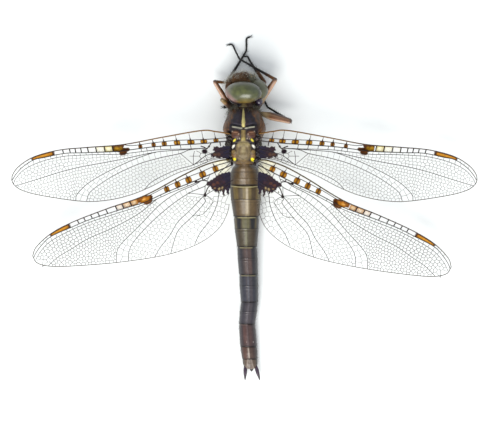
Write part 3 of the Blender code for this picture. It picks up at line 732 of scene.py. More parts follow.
def bristles(path, radius, count, length, outward):
    """Two rows of stiff bristles along a limb, leaning towards its tip."""
    parts = []
    path = np.array(path)
    shares = np.linspace(0, 1, len(path))
    way = (path[-1] - path[0]) / np.linalg.norm(path[-1] - path[0])
    across = np.cross(way, outward)
    across /= np.linalg.norm(across)
    for row in (-1, 1):
        for k in range(count):
            share = (k + 0.5 + 0.2 * row) / count
            root = np.array([np.interp(share, shares, column) for column in path.T])
            root[2] = max(root[2], radius)
            lean = across * row * 0.8 + way * 0.75 + np.array(outward) * chance.uniform(-0.2, 0.3)
            tip = root + lean / np.linalg.norm(lean) * length * chance.uniform(0.75, 1.1)
            tip[2] = max(tip[2], 0.05)
            parts.append(tube((root, (root + tip) / 2, tip), (0.028, 0.02, 0.006), 4))
    return parts


for leg, spots in LEGS.items():
    side = -1 if leg.endswith("left") else 1
    hip, root, knee, ankle, toe, claw = (np.array(p) for p in spots)
    points, faces = tube(through((hip, (hip + root) / 2, root), HIP_ROWS),
                         (0.5, 0.56, 0.56, 0.54, 0.5, 0.46, 0.42, 0.36), HIP_SIDES)
    points[:, 2] = np.maximum(points[:, 2], 0.0)
    add_piece(f"hip_{leg}", points, faces, thigh_cuticle, plain("#4C3628", points), (f"coxa_{leg}",))

    # Thigh: its pale side faces back and out. Its colours run along it, and round it from that side.
    pale_way = np.array((0.2 * side, -1.0, 0.0) if leg.startswith("mid") else (0.75 * side, -0.6, -0.1))
    share = np.linspace(0, 1, THIGH_ROWS)
    bends = BOWED.get(leg, ((root + knee) / 2,))
    thigh_line = through((root, *bends, knee + (knee - root) * 0.03), THIGH_ROWS)
    stout = 1.0
    if leg == "hind_right":
        stout = 1.15
    elif leg == "mid_right":
        stout = np.interp(share, (0, 0.12, 0.42), (0.7, 0.8, 1.35))
    girth = stout * np.interp(share, (0, 0.05, 0.09, 0.14, 0.35, 0.55, 0.9, 0.96, 1),
                              (0.3, 0.36, 0.3, 0.42, 0.48, 0.46, 0.33, 0.32, 0.18))
    points, faces = tube(thigh_line, girth, THIGH_SIDES)
    from_middle = points - np.repeat(thigh_line, THIGH_SIDES, 0)
    side_of = from_middle @ (pale_way / np.linalg.norm(pale_way)) / np.repeat(girth, THIGH_SIDES)
    along = np.repeat(share, THIGH_SIDES)
    points[:, 2] = np.maximum(points[:, 2], 0.0)
    tint = plain("#613A1E", points)
    coat(tint, "#A87A58", 0.9 * smooth_step(side_of, 0.35, 0.6))
    # A narrow pale pink line painted along the pale side: a painted highlight.
    coat(tint, "#DDBBA0", 0.8 * within(side_of, 0.45, 0.7, 0.14))
    coat(tint, "#8E5424", 0.8 * within(side_of, 0.1, 0.38, 0.16))
    coat(tint, "#3A2012", 0.8 * smooth_step(-side_of, 0.45, 0.85))
    coat(tint, "#A07A54", 0.6 * within(side_of, -0.5, -0.32, 0.12))
    coat(tint, "#1D1312", 0.85 * smooth_step(along, 0.94, 0.99))
    if leg == "mid_right":
        coat(tint, "#C4AE84", 0.9 * fade(along, 0.25, 0.48) * smooth_step(side_of, -1.2, -0.5))
    if leg == "hind_right":
        coat(tint, "#B39E7A", 0.8 * within(along, 0.44, 0.6, 0.1))
    # Painted shade: the roots of the hind thighs are darkened where they pass under the neck.
    if leg in BOWED:
        coat(tint, "#33221A", 0.85 * fade(along, 0.38, 0.46))
    if leg == "mid_left":
        coat(tint, "#7E6A44", 0.85 * smooth_step(along, 0.74, 0.84))
        coat(tint, "#2A1E18", 0.9 * fade(along, 0.7, 0.8))
    add_piece(f"thigh_{leg}", points, faces, thigh_cuticle, tint, (f"femur_{leg}",))

    # Shin: brown next to the knee, black beyond.
    share = np.linspace(0, 1, SHIN_ROWS)
    path = through((knee, (knee + ankle) / 2, ankle), SHIN_ROWS)
    path[:, 2] = np.maximum(path[:, 2] - 0.06, SHIN)
    girth = (0.28, 0.3, 0.3, 0.15) if leg == "fore_right" else (0.28, 0.26, SHIN, 0.15)
    points, faces = tube(path, np.interp(share, (0, 0.06, 0.5, 1), girth), SHIN_SIDES)
    tint = plain("#141012", points)
    brown_until = 0.75 if leg in ("hind_left", "fore_right") else 0.35
    coat(tint, "#5A3818", 0.9 * np.repeat(fade(share, brown_until - 0.3, brown_until), SHIN_SIDES))
    add_piece(f"shin_{leg}", points, faces, black_cuticle, tint, (f"tibia_{leg}",))

    # Foot: three joints, each widest at its end, and two claws.
    path = through((ankle, (ankle + toe) / 2, toe, claw), FOOT_ROWS)
    path[:, 2] = np.maximum(path[:, 2] - 0.08, FOOT)
    stout = FOOT * (1.6 if leg == "mid_left" else 1)
    girth = np.array((1, 1.1, 1.15, 0.7, 1, 1.1, 0.7, 1, 1.05, 0.6)) * stout
    joints = (0, 0.02, 0.16, 0.18, 0.20, 0.44, 0.46, 0.48, 0.96, 1)
    foot = tube(path, np.interp(np.linspace(0, 1, FOOT_ROWS), joints, girth), FOOT_SIDES)
    way = (path[-1] - path[-4]) / np.linalg.norm(path[-1] - path[-4])
    across = np.array((-way[1], way[0], 0.0))
    hooks = [tube(through((path[-1], path[-1] + way * 0.28 + across * row * 0.14,
                           path[-1] + way * 0.5 + across * row * 0.12 + (0, 0, -0.05)), 6),
                  (0.05, 0.045, 0.04, 0.03, 0.02, 0.008), 6) for row in (-1, 1)]
    points, faces = joined([foot, *hooks])
    points[:, 2] = np.maximum(points[:, 2], 0.0)
    add_piece(f"foot_{leg}", points, faces, black_cuticle, plain("#120F10", points),
              (f"tarsus_{leg}",))

    up = (0, 0, 1.0)
    points, faces = joined(bristles((knee, ankle), SHIN, 11, 0.62, up)
                           + bristles(thigh_line, 0.4, 8, 0.55, up)
                           + bristles((ankle, toe), FOOT, 6, 0.3, up))
    add_piece(f"bristles_{leg}", points, faces, black_cuticle, plain("#171313", points))


# ---- wings ----------------------------------------------------------------------------------------
# A clear membrane a few thousandths of a millimetre thick, stretched on a net of hollow veins. It is
# pleated along the stiff front veins. Pigment is inside the membrane: amber spots, black at the base.

RIM_POINTS, VEIN_POINTS, BAND_STEPS, FILM_COLUMNS, REAR_START = 560, 90, 59, 110, 100
ROOT_REACH = 2.4  # hinge to midline
PLEAT_DEPTH, PLEAT_WIDTH = 0.06, 1.05


def wing_place(wing, side, flat, lift=0.0):
    """Points of a flat wing, along it and towards its leading edge, where the spread wing has them."""
    flat = np.asarray(flat, float)
    mirror = 1 if side == "right" else -1
    u, v = flat[:, 0], flat[:, 1]
    length = wing["leading"][-1][0]
    sag = wing["droop"] * np.maximum(u / length, 0.0) ** 1.3
    behind = np.interp(u, wing["front"][:, 0], wing["front"][:, 1]) - v
    pleat = PLEAT_DEPTH * np.cos(math.tau * behind / PLEAT_WIDTH) * np.exp(-np.maximum(behind, 0) / 1.3)
    turn = math.radians(-mirror * wing["sweep"][side])
    x, y = mirror * u, v
    return np.stack([x * math.cos(turn) - y * math.sin(turn) + mirror * ROOT_REACH,
                     x * math.sin(turn) + y * math.cos(turn) + wing["hinge"][0],
                     wing["hinge"][1] - sag + pleat + lift], 1)


def nearest_on(line, spots):
    """The nearest point of a line to each spot."""
    a, b = line[:-1], line[1:]
    run = b - a
    share = np.einsum("nsk,sk->ns", spots[:, None] - a[None], run) / np.maximum((run * run).sum(1), 1e-12)
    close = a[None] + np.clip(share, 0, 1)[..., None] * run[None]
    best = np.linalg.norm(spots[:, None] - close, axis=2).argmin(1)
    return close[np.arange(len(spots)), best]


def cell_net(upper, lower, pitch, height):
    """Cell walls in the band between two long veins: cells in rows, parted half way between middles."""
    above, below = through(upper, BAND_STEPS + 1), through(lower, BAND_STEPS + 1)
    middle = (above + below) / 2
    span = np.linalg.norm(np.diff(middle, axis=0), axis=1).sum()
    count = max(2, round(span / pitch))
    seeds, inside = [], []
    for k in range(count):
        share = (k + 0.5) / count * BAND_STEPS
        low = min(int(share), BAND_STEPS - 1)
        part = share - low
        a = above[low] * (1 - part) + above[low + 1] * part
        b = below[low] * (1 - part) + below[low + 1] * part
        way = middle[low + 1] - middle[low]
        way = way / max(np.linalg.norm(way), 1e-9)
        wide = np.linalg.norm(a - b)
        if wide < 0.12:
            continue
        rows = max(1, round(wide / height))
        for row in range(-1, rows + 1):
            own = 0 <= row < rows
            across = (row + 0.5 + (chance.uniform(-0.14, 0.14) if own and rows > 1 else 0)) / rows
            slide = (0.16 if row % 2 else -0.16) * (rows > 1) + chance.uniform(-0.13, 0.13)
            seeds.append(a + (b - a) * across + way * slide * pitch)
            inside.append(own)
    made = delaunay_2d_cdt([Vector(s) for s in seeds], [], [], 0, 1e-7)
    spots = np.array([tuple(v) for v in made[0]])
    own = np.array([inside[ids[0]] if ids else False for ids in made[3]])
    walls, centres, outer = {}, [], []
    for number, face in enumerate(made[2]):
        (ax, ay), (bx, by), (cx, cy) = spots[face[0]], spots[face[1]], spots[face[2]]
        area = 2 * (ax * (by - cy) + bx * (cy - ay) + cx * (ay - by))
        area = area if abs(area) > 1e-12 else 1e-12
        a2, b2, c2 = ax * ax + ay * ay, bx * bx + by * by, cx * cx + cy * cy
        centres.append(((a2 * (by - cy) + b2 * (cy - ay) + c2 * (ay - by)) / area,
                        (a2 * (cx - bx) + b2 * (ax - cx) + c2 * (bx - ax)) / area))
        outer.append(not own[list(face)].all())
        for i in range(3):
            walls.setdefault(tuple(sorted((face[i], face[(i + 1) % 3]))), []).append(number)
    centres, outer = np.array(centres), np.array(outer)
    centres[outer] = nearest_on(np.vstack([above, below[::-1]]), centres[outer])
    found = []
    for (one, other), faces in walls.items():
        if len(faces) == 2 and own[one] and own[other]:
            wall = centres[list(faces)]
            if 0.03 < np.linalg.norm(wall[0] - wall[1]) < 2.2 * max(pitch, height):
                found.append(wall)
    return found


# Places on a flat wing are along it from the hinge, then towards its leading edge. Each wing holds its
# hinge's place along the body and its height, the sweep in degrees, the pigments' colours, both outlines,
# the marks at node and root, the long veins, and the places of its cross veins from root to tip.
FOREWING = {
    "hinge": (9.8, 7.1), "sweep": {"left": 8.7, "right": 8.7}, "droop": 3.4, "node": 16.9,
    "shift": {"left": 0.0, "right": -0.4}, "stigma": (27.9, 31.5), "gold": (17.65, 2.35),
    "dyes": {"spot": "#6A4206", "node": "#4A2806", "gold": "#7C5C10", "gleam": "#A87C20",
             "cell": "#E2D8A4", "rim": "#9A8A3C", "edge": "#6E4E20"},
    "leading": ((-0.4, 2.0), (1.8, 2.7), (4.0, 3.2), (10.3, 3.1), (16.7, 2.9), (22.1, 3.3), (26.9, 3.6),
        (31.0, 3.2), (33.7, 2.1), (35.0, 0.9), (35.3, 0.0)),
    "trailing": ((0.3, -1.8), (2.9, -1.7), (5.8, -2.4), (9.1, -3.0), (13.6, -4.5), (17.2, -5.3),
        (21.0, -5.5), (24.9, -5.0), (31.1, -3.1), (34.0, -1.8), (35.1, -0.7), (35.3, 0.0)),
    "amber": ((18.45, 19.75, 0.8), (19.75, 21.1, 0.35), (21.1, 22.4, 0.12)),
    "nodal": ((18.5, 3.35), (16.6, 3.2), (16.6, 2.65), (16.8, 2.4), (16.4, 2.3), (15.95, 2.3),
        (15.75, 2.05), (15.9, 1.75), (16.3, 1.65), (16.3, 1.4), (16.7, 1.2), (17.3, 1.2), (17.6, 1.45),
        (17.5, 1.7), (17.8, 1.85), (18.45, 2.0)),
    "patch": ((2.4, 0.35), (1.8, 0.3), (1.6, 0.05), (0.9, 0.25), (0.1, 0.1), (-0.8, -0.1), (-0.8, -2.0),
        (0.3, -2.1), (0.6, -1.8), (1.2, -1.95), (1.5, -1.5), (1.9, -1.7), (2.4, -1.3), (2.9, -1.35),
        (3.15, -0.8), (2.9, -0.6), (2.4, -0.5), (2.7, -0.2)),
    "windows": ((2.45, -0.9, 0.3, 0.22, "#4E392C"), (1.85, -1.0, 0.25, 0.3, "#4A352B"),
        (1.3, -0.55, 0.2, 0.2, "#30242E")),
    "knots": ((4.0, -0.16, 0.46, 0.38), (3.2, 0.5, 0.16, 0.16)),
    "veins": {
        "sc": ((-0.4, 1.4), (4.0, 1.75), (8.2, 2.25), (12.0, 2.45), (15.2, 2.5), (16.7, 2.85)),
        "r": ((-0.4, 0.9), (3.9, 1.1), (8.2, 1.5), (11.9, 1.8), (15.8, 1.9), (18.2, 2.0), (23.0, 2.55),
            (26.2, 2.95), (29.4, 2.8), (31.3, 2.68), (33.3, 1.8), (34.6, 0.75), (35.2, 0.0)),
        "rp1": ((3.6, 0.3), (6.3, 0.6), (11.1, 1.2), (14.3, 1.35), (17.8, 1.5), (21.4, 2.0), (24.6, 2.35),
            (27.0, 2.5), (30.3, 2.2), (33.0, 1.4), (34.6, 0.2), (35.1, -0.6)),
        "ir2": ((11.7, 0.86), (12.9, 0.88), (17.6, 0.6), (20.9, 0.5), (24.1, 0.4), (27.4, 0.1),
            (30.7, -0.4), (34.9, -1.0)),
        "rp3": ((5.3, 0.5), (7.1, 0.6), (11.1, 0.9), (12.7, 0.8), (16.1, 0.1), (19.5, -0.9), (22.0, -1.8),
            (23.8, -2.7), (25.3, -3.9), (25.6, -4.8)),
        "ma": ((3.6, 0.3), (6.3, 0.45), (7.9, 0.1), (11.2, -0.1), (14.5, -0.5), (17.9, -1.4), (20.5, -2.4),
            (23.1, -3.8), (23.9, -5.1)),
        "cu": ((-0.2, -0.4), (3.0, -0.7), (4.0, -0.9), (6.1, -2.0), (8.4, -2.3), (10.9, -2.9), (13.1, -3.7),
            (14.4, -4.65)),
    },
    "thick": (((4.5, 0.75), (4.0, 0.5), (3.7, 0.2), (3.9, -0.05)), ((3.6, 0.15), (3.2, 0.5), (2.75, 1.05)),
        ((1.4, 1.1), (1.35, 0.3))),
    "extra": (((2.6, 1.1), (3.5, 0.3)), ((5.6, 0.13), (5.85, -0.5), (6.0, -1.25), (6.1, -2.0)),
        ((3.9, -0.5), (4.05, -0.9), (4.75, -1.25), (5.4, -1.65), (6.1, -2.0)), ((7.9, 0.1), (6.1, -2.0)),
        ((0.0, -1.0), (2.7, -1.5), (4.2, -1.6), (6.1, -2.0))),
    "cells": (((3.9, -0.5), (3.25, -0.55), (3.0, -1.1), (3.2, -1.5), (3.75, -1.55), (4.0, -1.05),
        (4.05, -0.9)), ((5.3, 0.1), (4.7, -0.35), (4.9, -0.8), (4.75, -1.25)), ((4.7, -0.35), (3.9, -0.5)),
        ((6.5, -0.55), (5.9, -0.65), (4.9, -0.8)),
        ((3.75, -1.55), (3.85, -1.9), (4.45, -2.05), (4.9, -1.65))),
    "ante": (1.95, 3.9, 5.95, 8.15, 10.2, 11.9, 14.05),
    "spot_sizes": (0.75, 1.0, 1.1, 0.95, 0.75, 0.6, 0.55),
    "under": (1.4, 6.1, 7.7, 9.3, 10.9, 11.9, 13.1, 14.0),
    "post": (18.45, 19.75, 21.1, 22.4, 23.5, 24.4, 25.3, 26.4),
}
HINDWING = {
    "hinge": (5.2, 6.8), "sweep": {"left": 22.0, "right": 25.3}, "droop": 3.6, "node": 13.9,
    "shift": {"left": 0.0, "right": -0.5}, "stigma": (26.7, 30.1), "gold": (13.9, 1.45),
    "dyes": {"spot": "#744806", "node": "#6A3C0C", "gold": "#A86A18", "gleam": "#DCA85C",
             "cell": "#B48C40", "rim": "#8E5A28", "edge": "#463818"},
    "leading": ((-0.9, 2.3), (0.2, 2.7), (3.0, 3.0), (6.9, 2.8), (13.7, 2.1), (20.0, 2.4), (26.0, 2.5),
        (30.0, 2.1), (33.0, 1.0), (34.1, -0.1)),
    "trailing": ((1.6, -4.0), (2.5, -5.4), (4.5, -7.1), (7.5, -8.1), (11.1, -8.3), (15.2, -7.8),
        (20.7, -6.5), (26.1, -4.9), (31.5, -3.0), (33.8, -1.5), (34.1, -0.1)),
    "amber": ((15.2, 16.3, 0.9), (16.3, 17.6, 0.7), (17.6, 18.7, 0.35)),
    "nodal": ((13.7, 2.2), (13.3, 1.95), (12.75, 1.85), (12.6, 1.5), (12.75, 1.25), (12.85, 0.95),
        (13.2, 0.6), (13.6, 0.55), (14.1, 0.6), (14.4, 1.0), (14.9, 1.3), (15.4, 1.4), (15.4, 2.35),
        (14.6, 2.3)),
    "patch": ((3.95, 0.1), (3.5, 0.35), (2.7, 0.45), (1.7, 0.75), (0.8, 0.75), (-0.4, 0.5), (-0.6, -1.1),
        (0.3, -1.9), (0.8, -2.0), (1.15, -2.75), (1.45, -2.7), (1.35, -1.9), (1.7, -2.1), (1.95, -2.85),
        (2.15, -2.6), (2.0, -1.8), (2.4, -1.75), (2.65, -2.1), (2.8, -1.6), (3.05, -1.8), (3.15, -1.3),
        (3.45, -0.9), (3.4, -0.5), (3.85, -0.2)),
    "windows": ((2.3, -1.35, 0.2, 0.26, "#8C7A58"), (1.8, -1.5, 0.16, 0.28, "#8C7A58"),
        (2.2, -0.4, 0.3, 0.24, "#4A2F26"), (2.85, -0.45, 0.28, 0.22, "#52342A"),
        (1.2, -0.7, 0.24, 0.26, "#33232A"), (2.9, -1.05, 0.2, 0.14, "#7A6248")),
    "knots": ((5.3, 1.05, 0.28, 0.2), (4.75, -1.45, 0.2, 0.36), (7.0, -0.2, 0.14, 0.12),
        (3.9, -1.1, 0.12, 0.12)),
    "veins": {
        "sc": ((-0.9, 2.0), (1.7, 2.25), (4.2, 2.2), (6.7, 2.25), (10.2, 2.1), (12.9, 1.85), (13.8, 2.05)),
        "r": ((-0.9, 1.4), (2.8, 1.3), (6.3, 1.25), (9.7, 1.3), (12.9, 1.15), (14.2, 1.1), (19.1, 1.55),
            (23.3, 1.85), (26.7, 1.8), (30.2, 1.66), (32.2, 0.9), (33.5, 0.1), (34.0, -0.4)),
        "rp1": ((3.2, 0.9), (6.4, 0.9), (9.9, 0.95), (14.3, 0.8), (19.2, 1.15), (23.4, 1.45), (26.8, 1.4),
            (30.4, 1.0), (32.6, 0.1), (33.9, -0.9)),
        "ir2": ((12.0, 0.88), (13.3, 0.5), (15.6, -0.2), (18.3, -0.6), (20.9, -0.8), (24.8, -0.9),
            (27.8, -1.4), (30.3, -1.8), (32.3, -2.5)),
        "rp3": ((4.4, 0.9), (5.8, 0.68), (8.8, 0.56), (12.1, -0.2), (16.2, -2.0), (18.9, -3.1),
            (20.7, -4.0), (21.5, -5.0), (22.0, -6.1)),
        "ma": ((3.6, 0.5), (4.2, -0.1), (7.0, -0.2), (10.7, -1.0), (14.7, -2.4), (18.0, -4.0), (19.4, -5.2),
            (20.1, -6.65)),
        "mp": ((4.8, -1.4), (7.9, -2.8), (10.4, -3.8), (12.4, -5.3), (14.5, -6.5), (16.0, -7.65)),
        "cu": ((-0.3, -0.9), (4.7, -1.5), (5.2, -2.5), (7.8, -3.8), (10.7, -5.0), (12.1, -6.4),
            (13.4, -8.1)),
        "an": ((0.6, -1.4), (2.4, -1.9), (3.6, -3.6), (5.5, -5.4), (7.8, -6.8), (9.3, -8.15)),
    },
    "thick": (((3.4, -0.3), (4.0, -0.6), (4.75, -1.4)), ((3.6, 0.5), (4.2, 0.85), (5.3, 1.0)),
        ((4.2, 0.85), (4.1, 1.3))),
    "extra": (((-0.8, 1.77), (0.1, 1.42), (1.05, 1.07), (1.6, 0.83)), ((2.8, 1.3), (3.6, 0.5)),
        ((4.2, -0.1), (4.8, -1.4)), ((4.8, -1.4), (7.0, -0.2)),
        ((4.7, -1.5), (3.9, -2.7), (4.7, -3.4), (6.4, -4.2), (7.8, -3.8))),
    "cells": (((1.15, 1.45), (1.05, 1.05), (1.1, 0.75)), ((-0.9, 1.15), (-0.15, 0.9), (0.6, 0.55))),
    "ante": (1.65, 3.9, 6.3, 8.2, 10.1),
    "spot_sizes": (0.85, 1.05, 0.95, 0.85, 0.8),
    "under": (2.0, 5.3, 6.8, 8.4, 9.8, 11.4),
    "post": (16.3, 17.6, 18.7, 20.3, 21.7, 22.9, 24.1, 25.2),
}


def rear_edge(wing, start, end):
    """The trailing edge between two places along the wing."""
    edge = through(wing["trailing"], 160)
    keep = (edge[:, 0] >= min(start, end)) & (edge[:, 0] <= max(start, end))
    return edge[keep]


def stretch(line, start=-9.0, end=99.0):
    """The part of a line between two places along the wing."""
    return line[(line[:, 0] > start) & (line[:, 0] < end)]


def patch_of(u, v, outline, edge=0.1):
    """1 inside a closed outline and 0 outside it, with a soft edge."""
    line = np.array([*outline, outline[0]], float)
    spots = np.stack([u, v], 1)
    inside = np.zeros(len(u), bool)
    for (ax, ay), (bx, by) in zip(line[:-1], line[1:]):
        crosses = (ay > v) != (by > v)
        inside ^= crosses & (u < (bx - ax) * (v - ay) / (by - ay + 1e-12) + ax)
    near = np.abs(spots - line.mean(0)).max(1) < np.abs(line - line.mean(0)).max() + 0.5
    gap = np.full(len(u), 9.0)
    gap[near] = np.linalg.norm(spots[near] - nearest_on(line, spots[near]), axis=1)
    return smooth_step(np.where(inside, gap, -gap), -edge / 2, edge / 2)


# Veins: dry, matt tubes of chitin, near black.
wing_vein = cuticle("wing_vein", 0.5, 0.05, 0.004, 0.12, 0.0, 0.15)

# Membrane: clear film with the faintest straw tint. Where it holds pigment it is nearly opaque.
wing_film, tree, shader = new_finish("wing_film", {"Roughness": 0.45, "IOR": 1.5, "Specular IOR Level": 0.06})
pigment_in = add(tree, "Attribute", attribute_name="pigment")
_, grain = clouded(tree, shader, 0.3, 3.0, 0.5, 0.2, 0.66, 1.04)
cover = add(tree, "MapRange", {"Value": pigment_in.outputs["Fac"], "To Min": 0.0, "To Max": 1.0})
tree.links.new(cover.outputs["Result"], shader.inputs["Alpha"])
wrinkle = add(tree, "Bump", {"Height": grain.outputs["Fac"], "Distance": 0.012 * MM, "Strength": 0.5})
tree.links.new(wrinkle.outputs["Normal"], shader.inputs["Normal"])


def stain(tint, pigment, colour, cover):
    """Lays pigment over what the film holds, so that a faint edge keeps the pigment's own colour."""
    cover = np.clip(cover, 0, 1)
    below = pigment * (1 - cover)
    coat(tint, colour, cover / np.maximum(cover + below, 1e-6))
    pigment[:] = cover + below


VEIN_COLOURS = {"edge": "#34190C", "rear": "#3C3228", "main": "#1A1210", "dark": "#1E0E09", "fine": "#2B221C",
                "amber": "#351A08"}
for kind, wing in (("forewing", FOREWING), ("hindwing", HINDWING)):
    fore = kind == "forewing"
    dyes, node, stigma = wing["dyes"], wing["node"], wing["stigma"]
    shares = np.linspace(0, 1, RIM_POINTS)
    wing["front"] = through(wing["leading"], shares)
    wing["back"] = through(wing["trailing"], shares)
    veins = {name: through(line, VEIN_POINTS) for name, line in wing["veins"].items()}
    rp1, ir2, rp3, ma, cu = (veins[name] for name in ("rp1", "ir2", "rp3", "ma", "cu"))
    reach = wing["leading"][-1][0]

    # Long veins and edges: line, radius at root and tip, tone. The rear edge's vein begins before the tip.
    front_edge = wing["front"][:-1:5]
    outline = np.vstack([front_edge, wing["back"][::-5]])
    strands = [(front_edge, 0.125, 0.07, "edge"), (outline[REAR_START:], 0.075, 0.05, "rear"),
               (veins["sc"], 0.07, 0.06, "main"), (veins["r"], 0.09, 0.065, "main"),
               (rp1, 0.06, 0.05, "main")]
    strands += [(veins[name], 0.062, 0.056, "main") for name in veins if name not in ("sc", "r", "rp1")]
    for key, count, start, end, tone in (("extra", 8, 0.05, 0.045, "main"), ("thick", 14, 0.1, 0.08, "dark"),
                                         ("cells", 16, 0.036, 0.036, "fine")):
        strands += [(through(line, count), start, end, tone) for line in wing[key]]
    strands.append((stretch(wing["front"], node - 1.5, stigma[1] + 0.3)[::4], 0.085, 0.078, "dark"))

    def level(name, u):
        """How far forward a long vein lies at a place along the wing."""
        return np.interp(u, veins[name][:, 0], veins[name][:, 1])

    def front_level(u):
        """How far forward the leading edge lies there."""
        return np.interp(u, wing["front"][:, 0], wing["front"][:, 1])

    # Nets of small cells between the long veins: a band's upper and lower edge, a cell's length and height.
    bands = [(stretch(rp1, ir2[0, 0]), ir2, 0.62, 0.54),
             (ir2, np.vstack([stretch(rp3, ir2[0, 0]), rear_edge(wing, rp3[-1, 0], ir2[-1, 0])]), 0.54, 0.5),
             (rp3, stretch(ma, rp3[0, 0]), 0.95, 0.85)]
    if fore:
        below_ma = np.vstack([stretch(cu, 6.1), rear_edge(wing, cu[-1, 0], ma[-1, 0])])
        bands += [(stretch(ma, 7.6), below_ma, 0.56, 0.52),
                  (stretch(cu, 2.5), rear_edge(wing, 2.6, cu[-1, 0]), 0.58, 0.52),
                  (stretch(rp1, end=13), stretch(rp3, end=12.8), 1.5, 2.0)]
    else:
        mp, cu, an = veins["mp"], stretch(cu, 4.7), stretch(veins["an"], 2.2)
        bands += [(stretch(ma, 7), np.vstack([mp, rear_edge(wing, mp[-1, 0], ma[-1, 0])]), 0.66, 0.6),
                  (mp, np.vstack([cu, rear_edge(wing, cu[-1, 0], mp[-1, 0])]), 0.75, 0.7),
                  (cu, np.vstack([an, rear_edge(wing, an[-1, 0], cu[-1, 0])]), 0.8, 0.74),
                  (an, rear_edge(wing, 1.6, an[-1, 0]), 0.8, 0.8)]
    for wall in [wall for band in bands for wall in cell_net(*band)]:
        thick = (0.8 if fore else 1.05) * np.interp(wall[0][0] / reach, (0.3, 0.8), (0.023, 0.034))
        strands.append((np.array(wall), thick, thick, "fine"))
    strands.append((stretch(veins["r"], node, stigma[1] + 0.2), 0.075, 0.068, "dark"))

    for side in ("left", "right"):
        parts, tints = [], []

        def lay_vein(line, start, end, tone, lift=0.0):
            """A vein along a line of the flat wing, tapering from one radius to another."""
            placed = wing_place(wing, side, line, lift)
            points, faces = tube(placed, np.linspace(start, end, len(line)), 4 if tone == "fine" else 5)
            along = np.repeat(np.clip(np.array(line)[:, 0] / reach, 0, 1), len(points) // len(line))
            shade = plain(VEIN_COLOURS[tone], points)
            if tone == "edge":
                coat(shade, dyes["edge"], fade(along, 0.3, 0.52))
            elif tone == "main":
                coat(shade, "#2A2024", 0.7 * fade(along, 0.0, 0.25))
            parts.append((points, faces))
            tints.append(shade)

        for strand in strands:
            lay_vein(*strand)
        # Cross veins: those before the node carry an amber thickening between the two front veins.
        spots = [u + wing["shift"][side] * (0.4 + 0.6 * (k > 0)) for k, u in enumerate(wing["ante"])]
        for u in spots:
            r, sc = level("r", u), level("sc", u)
            lay_vein(((u, r), (u + 0.03, sc), (u + 0.1, front_level(u))), 0.055, 0.04, "amber")
            lay_vein(((u, sc - 0.12), (u + 0.03, sc + 0.12), (u + 0.06, sc + 0.45)), 0.19, 0.04, "amber",
                     -0.06)
        for u in wing["under"]:
            low = level("rp1", u) if u > rp1[0, 0] else level("r", u) - 0.6
            lay_vein(((u, level("r", u)), (u - 0.03, low)), 0.06, 0.05, "dark")
        for u in wing["post"]:
            lay_vein(((u, level("r", u)), (u + 0.06, front_level(u))), 0.1, 0.1, "dark")
        for u in np.arange(node + 1.2, reach - 2.2, 0.95):
            lay_vein(((u, level("r", u)), (u - 0.04, level("rp1", u))), 0.035, 0.035, "dark")
        for u in np.arange(stigma[1] + 0.7, reach - 1.6, 0.7):
            lay_vein(((u, level("r", u)), (u + 0.1, front_level(u))), 0.025, 0.025, "fine")
        for u in stigma:
            lay_vein(((u, level("r", u)), (u + 0.25, front_level(u + 0.25))), 0.05, 0.05, "dark")
        points, faces = joined(parts)
        add_piece(f"{kind}_veins_{side}", points, faces, wing_vein, np.vstack(tints))

        # The film itself: its columns are closest together towards the front, where the marks are.
        across = np.linspace(0, 1, FILM_COLUMNS) ** 1.5
        root_front = np.array(wing["front"][0]) - (0.3, 0)
        root_back = wing["back"][0] * 0.7 + wing["front"][0] * 0.3 - (0.0 if fore else 0.2, 0)
        ease = np.linspace(0, 1, 10, endpoint=False)[:, None]
        front = np.vstack([root_front + (wing["front"][0] - root_front) * ease, wing["front"][:-1]])
        back = np.vstack([root_back + (wing["back"][0] - root_back) * ease, wing["back"][:-1]])
        flat = front[:, None] * (1 - across[None, :, None]) + back[:, None] * across[None, :, None]
        rows = len(flat)
        flat = flat.reshape(-1, 2)
        u, v = flat[:, 0], flat[:, 1]
        sc, r, lead = level("sc", u), level("r", u), front_level(u)
        rise = (v - r) / np.maximum(lead - r, 0.2)
        tint = plain("#CFCFA6", u)
        pigment = 0.015 + 0.02 * blot(u, v, (6.0, -1.5), (7.0, 3.0), 0, 0.8)

        def dye(colour, cover):
            stain(tint, pigment, colour, cover)

        if not fore:
            dye("#D8D2AE", 0.5 * within(u, -0.6, 1.7, 1.6) * smooth_step(v, 0.3, 0.8))
        # Amber spots along the front, each brightest beside its cross vein.
        for at, size in zip(spots, wing["spot_sizes"]):
            near = np.abs(u - at)
            half = (sc - r) / 2 + 0.03
            square = (near / (size / 2 + 0.05)) ** 2.3 + (np.abs(v - r - half + 0.03) / (half + 0.03)) ** 3
            dye(dyes["spot"] if size > 0.65 else "#5C3208", fade(square, 0.75, 1.2))
            glow = blot(near, v - r, (size * 0.28, half * 0.9), (size * 0.15, half * 0.5), 0, 0.7)
            dye("#B48426", (0.7 if fore and size > 0.8 else 0.4) * glow * (square < 1))
            dye("#3E1E08", (0.85 if fore else 0.5) * fade(near, 0.06, 0.2) * (square < 0.9))
